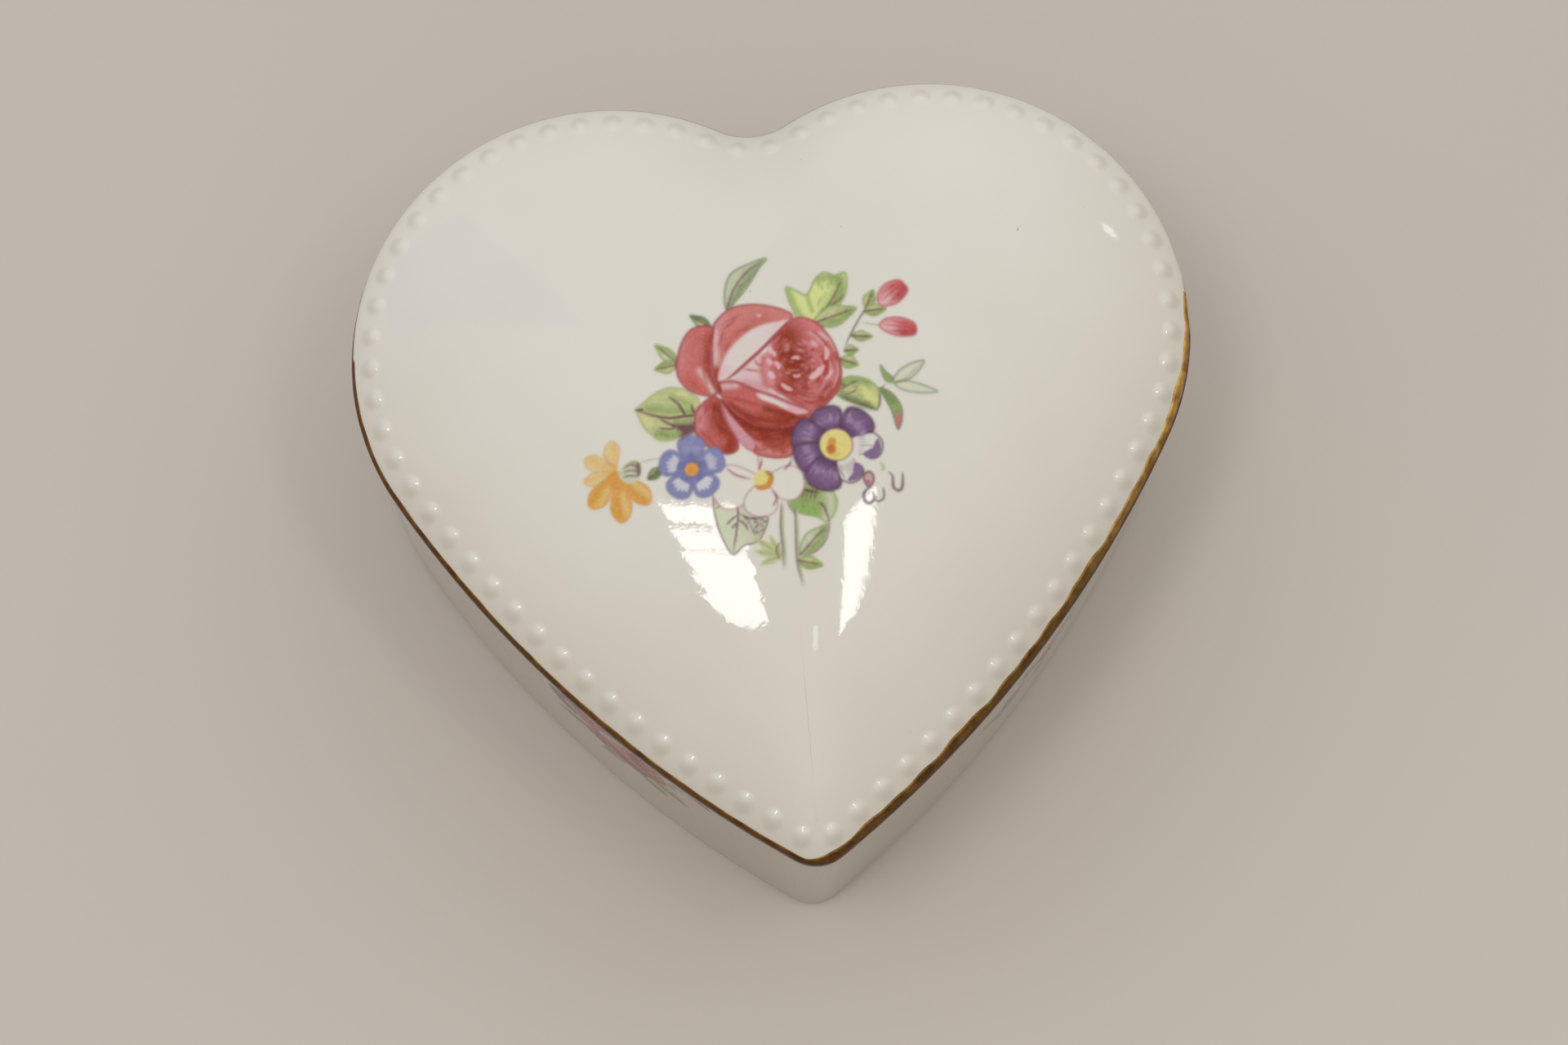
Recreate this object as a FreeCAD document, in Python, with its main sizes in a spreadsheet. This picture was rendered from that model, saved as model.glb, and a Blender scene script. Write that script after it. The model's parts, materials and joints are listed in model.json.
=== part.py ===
import FreeCAD
import Part
import Sketcher
import math
import os

# A heart-shaped china music box: lift-off lid, box, and a wind-up movement under a clear cover.
# Millimetres. X is the width, the heart's tip points along -Y, Z is up from the table.

Vector = FreeCAD.Vector
Rotation = FreeCAD.Rotation
doc = FreeCAD.newDocument("music_box")

# Driving sizes: name, value, what it is
SIZES = [
    ("heart_width", 110.0, "lid outline across the lobes"),
    ("heart_length", 103.0, "lid outline from the lobes to the tip"),
    ("lobe_radius", 34.0, "outline radius of each lobe"),
    ("notch_radius", 9.0, "outline radius of the notch"),
    ("side_radius", 158.0, "outline radius of each long side"),
    ("tip_radius", 5.2, "outline radius of the tip"),
    ("base_height", 43.0, "rim of the box above the table"),
    ("lid_overhang", 0.6, "lid edge past the box wall"),
    ("box_wall", 4.2, "wall of the box"),
    ("foot_wall", 5.0, "wall of the foot ring"),
    ("foot_height", 11.5, "underside of the floor above the table"),
    ("floor_thick", 4.0, "china floor"),
    ("china_round", 0.7, "rounding of the rim and foot edges"),
    ("lid_edge", 1.8, "upright edge of the lid"),
    ("dome_height", 13.5, "crown of the lid above its edge"),
    ("lid_thick", 3.6, "china at the crown of the lid"),
    ("flange_depth", 3.5, "locating flange below the lid edge"),
    ("flange_thick", 4.4, "width of the locating flange"),
    ("lid_clear", 0.8, "flange to box wall"),
    ("cover_gap", 0.8, "lid flange to movement cover"),
    ("cover_thick", 1.2, "top of the movement cover"),
    ("cover_wall", 1.0, "skirt of the movement cover"),
    ("cover_clear", 0.6, "cover skirt to box wall"),
    ("bed_thick", 2.5, "bedplate"),
    ("bed_margin", 2.5, "bedplate past what stands on it"),
    ("axis_y", 12.0, "cylinder axis and spring axis from the heart's centre"),
    ("barrel_x", -15.0, "spring axis from the heart's centre"),
    ("arbor_radius", 2.0, "winding arbor"),
    ("core_radius", 3.0, "thick part of the arbor inside the mainspring"),
    ("bush_wall", 1.2, "arbor bush"),
    ("run_gap", 0.05, "running clearance on a radius"),
    ("seat_gap", 0.01, "assembly clearance on a radius of pieces that turn together"),
    ("crown_module", 0.6, "tooth size of great wheel and cylinder pinion"),
    ("crown_teeth", 40, "great wheel"),
    ("crown_face", 2.2, "tooth width of great wheel and cylinder pinion"),
    ("pinion_teeth", 12, "cylinder pinion"),
    ("wheel_thick", 1.6, "disc of the great wheel"),
    ("cup_wall", 0.8, "spring housing"),
    ("spring_strip", 0.35, "mainspring strip"),
    ("spring_turns", 5, "mainspring turns"),
    ("hook_radius", 0.5, "pin of the great wheel that holds the spring's outer end"),
    ("cyl_radius", 6.3, "drum without its pins"),
    ("pin_height", 0.9, "pins above the drum"),
    ("pin_radius", 0.2, "pins"),
    ("drum_wall", 0.9, "tube of the drum"),
    ("cyl_clear", 0.6, "pins to bedplate"),
    ("shaft_radius", 1.2, "cylinder shaft"),
    ("post_thick", 1.8, "bearing posts"),
    ("train_gap", 0.5, "side gap between pieces of the train"),
    ("gear_module", 0.5, "tooth size of the governor train"),
    ("gear_teeth", 26, "cylinder gear"),
    ("gear_face", 1.8, "cylinder gear"),
    ("small_teeth", 8, "governor pinion"),
    ("worm_wheel_teeth", 20, "worm wheel"),
    ("worm_wheel_face", 1.4, "worm wheel"),
    ("worm_radius", 2.0, "pitch radius of the worm"),
    ("worm_turns", 6, "worm thread"),
    ("gov_arbor_radius", 0.9, "governor arbor"),
    ("worm_shaft_radius", 0.8, "shaft of the worm"),
    ("tooth_slack", 0.25, "backlash of the teeth"),
    ("frame_thick", 1.5, "foot and arm of the governor frame"),
    ("fan_radius", 5.6, "tip of the fan blades"),
    ("fan_height", 2.5, "fan blades"),
    ("fan_blade", 0.8, "fan blade thickness"),
    ("comb_teeth", 18, "comb"),
    ("comb_pitch", 1.05, "comb tooth to tooth"),
    ("comb_slot", 0.25, "gap between comb teeth"),
    ("comb_thick", 1.0, "comb plate"),
    ("tooth_length", 13.0, "comb teeth"),
    ("heel_length", 8.0, "solid part of the comb"),
    ("tip_gap", 0.2, "comb tips to the pins' circle"),
    ("screw_radius", 1.2, "screws"),
    ("screw_head", 2.2, "screw heads"),
    ("screw_head_height", 1.3, "screw heads"),
    ("screw_slot", 0.5, "screw slots"),
    ("washer_radius", 3.6, "washers under the floor"),
    ("washer_thick", 0.8, "washers under the floor"),
    ("key_span", 24.0, "winding key across its wings"),
    ("key_wing", 4.6, "radius of each wing end"),
    ("key_thick", 2.2, "winding key plate"),
    ("key_boss", 3.3, "hub of the winding key"),
    ("key_lift", 1.4, "key above the table"),
    ("plunger_radius", 0.8, "stop rod"),
    ("plunger_travel", 2.2, "rise of the stop rod"),
    ("guide_radius", 1.9, "tube the stop rod slides in"),
    ("guide_clear", 0.5, "that tube to the cover's wall"),
    ("stop_gap", 0.4, "arm of the stop rod to the fan's path"),
    ("stop_arm", 1.2, "width of the stop rod's arm"),
    ("stop_arm_thick", 0.8, "arm and collar of the stop rod"),
    ("stop_spring_room", 3.4, "guide tube to the stop rod's arm"),
    ("coil_wire", 0.5, "wire of the stop spring, across"),
    ("clutch_wire", 0.6, "wire of the clutch spring, across"),
    ("clutch_pitch", 1.05, "clutch spring turn to turn"),
    ("part_gap", 0.4, "between pieces that move past each other"),
    ("touch_gap", 0.1, "between pieces that all but touch"),
    ("crown_rim", 0.2, "disc of the great wheel past its teeth"),
    ("clutch_room", 4.2, "bedplate to mainspring"),
    ("spring_room", 0.9, "mainspring to great wheel"),
    ("drum_end", 0.5, "drum past the comb at each end"),
    ("drum_cap", 2.0, "end caps of the drum"),
    ("worm_side", 1.1, "pitch of the worm to the posts beside it"),
    ("shaft_end", 0.3, "shafts past their bearings"),
    ("arm_lift", 0.6, "worm wheel's pitch circle to the governor arm"),
    ("post_half", 3.2, "half width of the bearing posts"),
    ("lug_half", 2.6, "half width of the screwed feet"),
    ("foot_reach", 10.0, "bearing axis to the screw of the left foot"),
    ("right_foot_reach", 7.5, "bearing axis to the screw of the right foot"),
    ("gov_screw_out", 3.0, "governor post to its screw"),
    ("floor_screw_x", 10.2, "spring axis to the left floor screw, across"),
    ("floor_screw_y", 12.0, "spring axis to the left floor screw, along"),
    ("comb_screw_in", 4.0, "comb ends to their screws"),
    ("comb_screw_depth", 5.0, "comb screws below the comb's top"),
    ("floor_hole_gap", 0.5, "floor screws to their holes"),
    ("grommet_wall", 2.4, "lining of the key hole"),
    ("grommet_flange", 1.5, "rim of the lining past the key hole"),
    ("grommet_thick", 0.4, "rim of the lining"),
    ("clip_width", 1.8, "retaining ring past the arbor"),
    ("clip_thick", 1.0, "retaining ring"),
    ("arbor_end", 2.0, "arbor past the great wheel"),
    ("key_web", 4.8, "height of the key between its wings"),
    ("key_hub_lift", 1.2, "hub above the bottom of the key"),
    ("key_socket", 3.0, "arbor's end above the bottom of the key"),
]

sheet = doc.addObject("Spreadsheet::Sheet", "dims")
for row, (alias, number, meaning) in enumerate(SIZES, 1):
    sheet.set(f"A{row}", alias)
    sheet.set(f"B{row}", str(number))
    sheet.set(f"C{row}", meaning)
    sheet.setAlias(f"B{row}", alias)
doc.recompute()


def inset_scale(inset):
    """The scale that brings the widest point of the heart in by an inset."""
    return f"(1 - 2 * {inset} / dims.heart_width)"


# Levels and positions that several pieces share, as expressions on the sheet
FLOOR_TOP = "(dims.foot_height + dims.floor_thick)"
BED_TOP = f"({FLOOR_TOP} + dims.bed_thick)"
PIN_CIRCLE = "(dims.cyl_radius + dims.pin_height)"
AXIS_Z = f"({BED_TOP} + {PIN_CIRCLE} + dims.cyl_clear)"
FLANGE_BOTTOM = "(dims.base_height - dims.flange_depth)"
COVER_TOP = f"({FLANGE_BOTTOM} - dims.cover_gap)"
LID_TOP_EDGE = "(dims.base_height + dims.lid_edge)"
BOX_INSET = "(dims.lid_overhang + dims.box_wall)"
FLANGE_INSET = f"({BOX_INSET} + dims.lid_clear)"
COVER_INSET = f"({BOX_INSET} + dims.cover_clear)"

# Tooth heights and pressure angle, in modules and degrees
CROWN_TIP, CROWN_ROOT = 0.8, 1.4
GEAR_TIP, GEAR_ROOT, WORM_ROOT = 0.9, 1.2, 1.1
PRESSURE = math.radians(20)

PINION_PITCH = "(dims.crown_module * dims.pinion_teeth / 2)"
CROWN_PITCH = "(dims.crown_module * dims.crown_teeth / 2)"
CROWN_OUT = f"({CROWN_PITCH} + dims.crown_face / 2 + dims.crown_rim)"
CROWN_PLANE = f"({AXIS_Z} + {PINION_PITCH})"
WHEEL_BOTTOM = f"({CROWN_PLANE} + {CROWN_ROOT} * dims.crown_module)"
WHEEL_TOP = f"({WHEEL_BOTTOM} + dims.wheel_thick)"
CUP_RADIUS = f"({CROWN_PITCH} - dims.crown_face / 2 - dims.part_gap)"
PINION_X = f"(dims.barrel_x + {CROWN_PITCH})"
SPRING_BOTTOM = f"({BED_TOP} + dims.clutch_room)"
SPRING_TOP = f"({WHEEL_BOTTOM} - dims.spring_room)"

LEFT_POST_X = f"(dims.barrel_x + {CROWN_OUT} + dims.train_gap)"
DRUM_X = f"({LEFT_POST_X} + dims.post_thick + dims.train_gap)"
DRUM_LENGTH = "(dims.comb_pitch * dims.comb_teeth + 2 * dims.drum_end)"
GEAR_X = f"({DRUM_X} + {DRUM_LENGTH} + dims.train_gap)"
RIGHT_POST_X = f"({GEAR_X} + dims.gear_face + dims.train_gap)"
WORM_X = f"({RIGHT_POST_X} + dims.post_thick + dims.worm_radius + dims.worm_side)"
GOV_POST_X = f"({WORM_X} + dims.worm_radius + dims.worm_side)"
GOV_POST_END = f"({GOV_POST_X} + dims.post_thick)"
GOV_Y = "(dims.axis_y + dims.gear_module * (dims.gear_teeth + dims.small_teeth) / 2)"
WORM_WHEEL_PITCH = "(dims.gear_module * dims.worm_wheel_teeth / 2)"
WORM_Y = f"({GOV_Y} - {WORM_WHEEL_PITCH} - dims.worm_radius)"
ARM_BOTTOM = f"({AXIS_Z} + {WORM_WHEEL_PITCH} + dims.arm_lift)"
FAN_BOTTOM = f"({ARM_BOTTOM} + dims.frame_thick + dims.part_gap)"
FAN_TOP = f"({FAN_BOTTOM} + dims.fan_height)"

LOBE_X = "(dims.heart_width / 2 - dims.lobe_radius)"
LOBE_Y = "(dims.heart_length / 2 - dims.lobe_radius)"

# The stop rod stands under the lid's flange, its guide clear of the cover's wall
COVER_HOLLOW = inset_scale(f"({COVER_INSET} + dims.cover_wall)")
ROD_CIRCLE = f"({COVER_HOLLOW} * dims.lobe_radius - dims.guide_radius - dims.guide_clear)"
ROD_REACH = f"sqrt({ROD_CIRCLE} ^ 2 - ({WORM_Y} - {COVER_HOLLOW} * {LOBE_Y}) ^ 2)"
PLUNGER_X = f"({COVER_HOLLOW} * {LOBE_X} + {ROD_REACH})"
STOP_ARM_Z = f"({FAN_BOTTOM} + dims.fan_height / 3)"
GUIDE_TOP = f"({STOP_ARM_Z} - dims.stop_spring_room)"

COMB_X = f"({DRUM_X} + dims.drum_end)"
COMB_LENGTH = "(dims.comb_pitch * dims.comb_teeth)"
COMB_TIP = f"(dims.axis_y - {PIN_CIRCLE} - dims.tip_gap)"
COMB_ROOT = f"({COMB_TIP} - dims.tooth_length)"
COMB_BACK = f"({COMB_ROOT} - dims.heel_length)"
COMB_BOTTOM = f"({AXIS_Z} - dims.comb_thick / 2)"

PIECES = []


def value(expression):
    """The number an expression on the sheet comes to."""
    return float(sheet.evalExpression(expression))


def piece(obj, label):
    """Name a finished piece; the label is also its file name."""
    obj.Label = label
    PIECES.append(obj)
    return obj


def bind(obj, **expressions):
    for prop, expression in expressions.items():
        obj.setExpression(prop, expression)


def put_at(obj, x, y, z):
    for letter, expression in zip("xyz", (x, y, z)):
        obj.setExpression(f"Placement.Base.{letter}", expression)


def box(name, x0, x1, y0, y1, z0, z1):
    obj = doc.addObject("Part::Box", name)
    bind(obj, Length=f"{x1} - {x0}", Width=f"{y1} - {y0}", Height=f"{z1} - {z0}")
    put_at(obj, x0, y0, z0)
    return obj


def cylinder(name, radius, height, x, y, z, axis="Z"):
    obj = doc.addObject("Part::Cylinder", name)
    turns = {"X": Rotation(Vector(0, 1, 0), 90), "Y": Rotation(Vector(1, 0, 0), -90), "Z": Rotation()}
    obj.Placement = FreeCAD.Placement(Vector(), turns[axis])
    bind(obj, Radius=radius, Height=height)
    put_at(obj, x, y, z)
    return obj


def fuse(name, *shapes):
    obj = doc.addObject("Part::MultiFuse", name)
    obj.Shapes = list(shapes)
    obj.Refine = True
    return obj


def cut(name, base, *tools):
    obj = doc.addObject("Part::Cut", name)
    obj.Base = base
    obj.Tool = tools[0] if len(tools) == 1 else fuse(f"{name}_tools", *tools)
    return obj


def group(name, *shapes):
    """Several separate solids that make one piece."""
    obj = doc.addObject("Part::Compound", name)
    obj.Links = list(shapes)
    return obj


def solid(name, shape, x="0", y="0", z="0"):
    """A shape built about the origin, set down at a place."""
    obj = doc.addObject("Part::Feature", name)
    obj.Shape = shape
    put_at(obj, x, y, z)
    return obj


# Sketches and features of the bodies

def origin_plane(body, role):
    return [feature for feature in body.Origin.OriginFeatures if feature.Role == role][0]


def level_sketch(body, name, z):
    sketch = body.newObject("Sketcher::SketchObject", name)
    sketch.AttachmentSupport = [(origin_plane(body, "XY_Plane"), "")]
    sketch.MapMode = "FlatFace"
    sketch.setExpression("AttachmentOffset.Base.z", z)
    return sketch


def named(sketch, name, expression, constraint):
    """Add a dimension whose value comes from the sheet."""
    sketch.renameConstraint(sketch.addConstraint(constraint), name)
    sketch.setExpression(f"Constraints.{name}", expression)


def heart_centres():
    """Arc centres of the full-size outline: lobe, side, tip and notch, for the right half."""
    lobe_r, side_r = value("dims.lobe_radius"), value("dims.side_radius")
    tip_r, notch_r = value("dims.tip_radius"), value("dims.notch_radius")
    lobe = Vector(value(LOBE_X), value(LOBE_Y), 0)
    tip = Vector(0, tip_r - value("dims.heart_length") / 2, 0)
    notch = Vector(0, lobe.y + math.sqrt((lobe_r + notch_r) ** 2 - lobe.x ** 2), 0)
    to_tip = tip - lobe
    span = to_tip.Length
    along = ((side_r - lobe_r) ** 2 - (side_r - tip_r) ** 2 + span ** 2) / (2 * span)
    across = math.sqrt((side_r - lobe_r) ** 2 - along ** 2)
    to_tip.normalize()
    side = lobe + to_tip * along + Vector(to_tip.y, -to_tip.x, 0) * across
    return lobe, side, tip, notch


def heart_sketch(body, name, scale, z):
    """The heart outline, scaled about its middle: six tangent arcs, sized from the sheet."""
    sketch = level_sketch(body, name, z)
    factor = value(scale)
    lobe, side, tip, notch = [centre * factor for centre in heart_centres()]
    up = Vector(0, 0, 1)

    def angle(start, end):
        return math.atan2(end.y - start.y, end.x - start.x)

    lobe_start, lobe_end = angle(side, lobe), angle(lobe, notch)
    side_start = angle(side, tip)
    half_turn = math.pi
    arcs = [
        (side, "side_radius", side_start, lobe_start),
        (lobe, "lobe_radius", lobe_start, lobe_end),
        (notch, "notch_radius", -lobe_end, lobe_end - half_turn),
        (Vector(-lobe.x, lobe.y, 0), "lobe_radius", half_turn - lobe_end, half_turn - lobe_start),
        (Vector(-side.x, side.y, 0), "side_radius", half_turn - lobe_start, half_turn - side_start),
        (tip, "tip_radius", -half_turn - side_start, side_start),
    ]
    for centre, radius, start, end in arcs:
        circle = Part.Circle(centre, up, factor * value(f"dims.{radius}"))
        sketch.addGeometry(Part.ArcOfCircle(circle, start, end), False)
    right_side, right_lobe, notch_arc, left_lobe, left_side, tip_arc = range(6)
    joins = [
        (right_side, 2, right_lobe, 1), (right_lobe, 2, notch_arc, 2), (notch_arc, 1, left_lobe, 1),
        (left_lobe, 2, left_side, 1), (left_side, 2, tip_arc, 1), (tip_arc, 2, right_side, 1),
    ]
    for join in joins:
        sketch.addConstraint(Sketcher.Constraint("Tangent", *join))
    for number, (centre, radius, start, end) in enumerate(arcs):
        size = Sketcher.Constraint("Radius", number, factor * value(f"dims.{radius}"))
        named(sketch, f"radius_{number}", f"{scale} * dims.{radius}", size)
    sketch.addConstraint(Sketcher.Constraint("PointOnObject", tip_arc, 3, -2))
    across = Sketcher.Constraint("DistanceX", -1, 1, right_lobe, 3, lobe.x)
    named(sketch, "right_lobe_x", f"{scale} * {LOBE_X}", across)
    across = Sketcher.Constraint("DistanceX", left_lobe, 3, -1, 1, lobe.x)
    named(sketch, "left_lobe_x", f"{scale} * {LOBE_X}", across)
    for label, arc in (("right_lobe_y", right_lobe), ("left_lobe_y", left_lobe)):
        along = Sketcher.Constraint("DistanceY", -1, 1, arc, 3, lobe.y)
        named(sketch, label, f"{scale} * {LOBE_Y}", along)
    along = Sketcher.Constraint("DistanceY", tip_arc, 3, -1, 1, -tip.y)
    named(sketch, "tip_y", f"{scale} * (dims.heart_length / 2 - dims.tip_radius)", along)
    return sketch


def circle_sketch(body, name, z, circles):
    """Circles given as (x, y, radius) expressions."""
    sketch = level_sketch(body, name, z)
    for number, (x, y, radius) in enumerate(circles):
        centre = Vector(value(x), value(y), 0)
        sketch.addGeometry(Part.Circle(centre, Vector(0, 0, 1), value(radius)), False)
        named(sketch, f"radius_{number}", radius, Sketcher.Constraint("Radius", number, value(radius)))
        for axis, expression, at in (("X", x, centre.x), ("Y", y, centre.y)):
            if at >= 0:
                distance = Sketcher.Constraint(f"Distance{axis}", -1, 1, number, 3, at)
            else:
                distance = Sketcher.Constraint(f"Distance{axis}", number, 3, -1, 1, -at)
                expression = f"-({expression})"
            named(sketch, f"at_{axis}_{number}", expression, distance)
    return sketch


def rectangle_sketch(body, name, z, x, y, length, width):
    """A rectangle from the corner (x, y), all given as expressions."""
    sketch = level_sketch(body, name, z)
    left, low = value(x), value(y)
    right, high = left + value(length), low + value(width)
    corners = [Vector(left, low, 0), Vector(right, low, 0), Vector(right, high, 0), Vector(left, high, 0)]
    for number in range(4):
        sketch.addGeometry(Part.LineSegment(corners[number], corners[(number + 1) % 4]), False)
    for number in range(4):
        sketch.addConstraint(Sketcher.Constraint("Coincident", number, 2, (number + 1) % 4, 1))
        sketch.addConstraint(Sketcher.Constraint("Vertical" if number % 2 else "Horizontal", number))
    named(sketch, "length", length, Sketcher.Constraint("DistanceX", 0, 1, 0, 2, right - left))
    named(sketch, "width", width, Sketcher.Constraint("DistanceY", 1, 1, 1, 2, high - low))
    for axis, expression, at in (("X", x, left), ("Y", y, low)):
        if at >= 0:
            distance = Sketcher.Constraint(f"Distance{axis}", -1, 1, 0, 1, at)
        else:
            distance = Sketcher.Constraint(f"Distance{axis}", 0, 1, -1, 1, -at)
            expression = f"-({expression})"
        named(sketch, f"at_{axis}", expression, distance)
    return sketch


def pad(body, name, sketch, length, downward=False):
    feature = body.newObject("PartDesign::Pad", name)
    feature.Profile = sketch
    feature.Reversed = downward
    bind(feature, Length=length)
    return feature


def pocket(body, name, sketch, depth, upward=False):
    feature = body.newObject("PartDesign::Pocket", name)
    feature.Profile = sketch
    feature.Reversed = upward
    bind(feature, Length=depth)
    return feature


def loft(body, kind, name, sketches):
    feature = body.newObject(f"PartDesign::{kind}", name)
    feature.Profile = sketches[0]
    feature.Sections = sketches[1:]
    return feature


def round_edges(body, name, levels):
    """Round every edge that lies flat at one of the levels."""
    doc.recompute()
    base = body.Tip
    edges = []
    for number, edge in enumerate(base.Shape.Edges, 1):
        flat = edge.BoundBox.ZLength < 1e-4
        if flat and any(abs(edge.BoundBox.ZMin - value(level)) < 1e-4 for level in levels):
            edges.append(f"Edge{number}")
    feature = body.newObject("PartDesign::Fillet", name)
    feature.Base = (base, edges)
    bind(feature, Radius="dims.china_round")
    return feature


# China

DOME_STEPS = (1.0, 0.96, 0.87, 0.74, 0.58, 0.4, 0.22, 0.1)


def dome_rise(share):
    """Height of the dome, as a share of its crown, where the outline is scaled by a share."""
    return round((1 - share ** 2) ** 0.8, 4)


def dome_sketches(body, name, scale, bottom, height):
    sketches = []
    for number, share in enumerate(DOME_STEPS):
        level = f"{bottom} + {height} * {dome_rise(share)}"
        sketches.append(heart_sketch(body, f"{name}_{number}", f"{share} * {scale}", level))
    return sketches


def make_lid():
    body = doc.addObject("PartDesign::Body", "lid")
    edge = heart_sketch(body, "lid_edge_outline", "1", "dims.base_height")
    pad(body, "lid_edge_band", edge, "dims.lid_edge")
    flange = heart_sketch(body, "lid_flange_outline", inset_scale(FLANGE_INSET), "dims.base_height")
    pad(body, "lid_flange", flange, "dims.flange_depth", downward=True)
    dome = dome_sketches(body, "lid_dome_outline", "1", LID_TOP_EDGE, "dims.dome_height")
    loft(body, "AdditiveLoft", "lid_dome", dome)
    hollow_scale = inset_scale(f"({FLANGE_INSET} + dims.flange_thick)")
    mouth = heart_sketch(body, "lid_mouth_outline", hollow_scale, FLANGE_BOTTOM)
    pocket(body, "lid_mouth", mouth, "dims.flange_depth", upward=True)
    height = "(dims.lid_edge + dims.dome_height - dims.lid_thick)"
    hollow = dome_sketches(body, "lid_hollow_outline", hollow_scale, "dims.base_height", height)
    loft(body, "SubtractiveLoft", "lid_hollow", hollow)
    return piece(body, "lid")


GROMMET_BORE = "(dims.arbor_radius + dims.part_gap)"
GROMMET_RADIUS = f"({GROMMET_BORE} + dims.grommet_wall)"
FLOOR_SCREWS = [
    ("(dims.barrel_x - dims.floor_screw_x)", "(dims.axis_y + dims.floor_screw_y)"),
    (WORM_X, f"({GOV_Y} + dims.screw_radius)"),
    (f"({COMB_X} + {COMB_LENGTH} / 2)", f"({COMB_ROOT} + 2 * dims.screw_radius)"),
]


def make_base_box():
    body = doc.addObject("PartDesign::Body", "base_box")
    outer = heart_sketch(body, "box_outline", inset_scale("dims.lid_overhang"), "0")
    pad(body, "box_block", outer, "dims.base_height")
    inner = heart_sketch(body, "box_hollow_outline", inset_scale(BOX_INSET), "dims.base_height")
    pocket(body, "box_hollow", inner, f"dims.base_height - {FLOOR_TOP}")
    foot_inset = "(dims.lid_overhang + dims.foot_wall)"
    foot = heart_sketch(body, "foot_outline", inset_scale(foot_inset), "0")
    pocket(body, "foot_recess", foot, "dims.foot_height", upward=True)
    holes = [("dims.barrel_x", "dims.axis_y", f"({GROMMET_RADIUS} + dims.touch_gap)")]
    holes += [(x, y, "(dims.screw_radius + dims.floor_hole_gap)") for x, y in FLOOR_SCREWS]
    hole_sketch = circle_sketch(body, "floor_holes_outline", FLOOR_TOP, holes)
    pocket(body, "floor_holes", hole_sketch, "dims.floor_thick")
    round_edges(body, "china_edges", ("0", "dims.base_height"))
    return piece(body, "base_box")


def make_movement_cover():
    body = doc.addObject("PartDesign::Body", "movement_cover")
    outer = heart_sketch(body, "cover_outline", inset_scale(COVER_INSET), FLOOR_TOP)
    pad(body, "cover_block", outer, f"{COVER_TOP} - {FLOOR_TOP}")
    inner = heart_sketch(body, "cover_hollow_outline", COVER_HOLLOW, FLOOR_TOP)
    pocket(body, "cover_hollow", inner, f"{COVER_TOP} - {FLOOR_TOP} - dims.cover_thick", upward=True)
    rod_hole = [(PLUNGER_X, WORM_Y, "(dims.plunger_radius + dims.part_gap)")]
    hole = circle_sketch(body, "cover_hole_outline", COVER_TOP, rod_hole)
    pocket(body, "cover_hole", hole, "dims.cover_thick")
    return piece(body, "movement_cover")


# Fasteners

def screw(name, x, y, seat, length, head_up=True):
    """A slotted screw: its head sits on the seat level, its shank goes the other way."""
    head_z = seat if head_up else f"{seat} - dims.screw_head_height"
    shank_z = f"{seat} - {length}" if head_up else seat
    slot_z = f"{seat} + dims.screw_head_height - dims.screw_slot" if head_up else head_z
    head = cylinder(f"{name}_head", "dims.screw_head", "dims.screw_head_height", x, y, head_z)
    shank = cylinder(f"{name}_shank", "dims.screw_radius", length, x, y, shank_z)
    slot = box(
        f"{name}_slot", f"({x} - dims.screw_head)", f"({x} + dims.screw_head)",
        f"({y} - dims.screw_slot / 2)", f"({y} + dims.screw_slot / 2)",
        f"({slot_z})", f"({slot_z} + dims.screw_slot)",
    )
    return cut(name, fuse(f"{name}_blank", head, shank), slot)


def screw_hole(name, x, y, z0, z1):
    return cylinder(name, "dims.screw_radius + dims.seat_gap", f"{z1} - {z0}", x, y, z0)


FRAME_FOOT_TOP = f"({BED_TOP} + dims.frame_thick)"
LEFT_FOOT_X = f"({LEFT_POST_X} + dims.post_thick / 2)"
FRAME_SCREWS = [
    (LEFT_FOOT_X, "(dims.axis_y + dims.foot_reach)"),
    (f"({RIGHT_POST_X} + dims.post_thick / 2)", "(dims.axis_y - dims.right_foot_reach)"),
    (f"({GOV_POST_END} + dims.gov_screw_out)", GOV_Y),
]
COMB_SCREW_Y = f"({COMB_BACK} + dims.heel_length / 2)"
COMB_SCREWS = [
    (f"({COMB_X} + dims.comb_screw_in)", COMB_SCREW_Y),
    (f"({COMB_X} + {COMB_LENGTH} - dims.comb_screw_in)", COMB_SCREW_Y),
]


def make_fasteners():
    seat = "(dims.foot_height - dims.washer_thick)"
    length = f"({BED_TOP} - dims.shaft_end - {seat})"
    screws = [screw(f"floor_screw_{i}", x, y, seat, length, False) for i, (x, y) in enumerate(FLOOR_SCREWS)]
    piece(group("movement_screws", *screws), "movement_screws")
    washers = []
    for i, (x, y) in enumerate(FLOOR_SCREWS):
        disc = cylinder(f"washer_disc_{i}", "dims.washer_radius", "dims.washer_thick", x, y, seat)
        hole = screw_hole(f"washer_hole_{i}", x, y, seat, "dims.foot_height")
        washers.append(cut(f"washer_{i}", disc, hole))
    piece(group("screw_washers", *washers), "screw_washers")
    depth = "(dims.frame_thick + dims.bed_thick - dims.shaft_end)"
    screws = [screw(f"frame_screw_{i}", x, y, FRAME_FOOT_TOP, depth) for i, (x, y) in enumerate(FRAME_SCREWS)]
    piece(group("frame_screws", *screws), "frame_screws")
    comb_top = f"({COMB_BOTTOM} + dims.comb_thick)"
    depth = "dims.comb_screw_depth"
    screws = [screw(f"comb_screw_{i}", x, y, comb_top, depth) for i, (x, y) in enumerate(COMB_SCREWS)]
    piece(group("comb_screws", *screws), "comb_screws")


# Bedplate and bearings

SPRING_AXIS = ("dims.barrel_x", "dims.axis_y")
BUSH_RADIUS = "(dims.arbor_radius + dims.run_gap + dims.bush_wall)"


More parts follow.
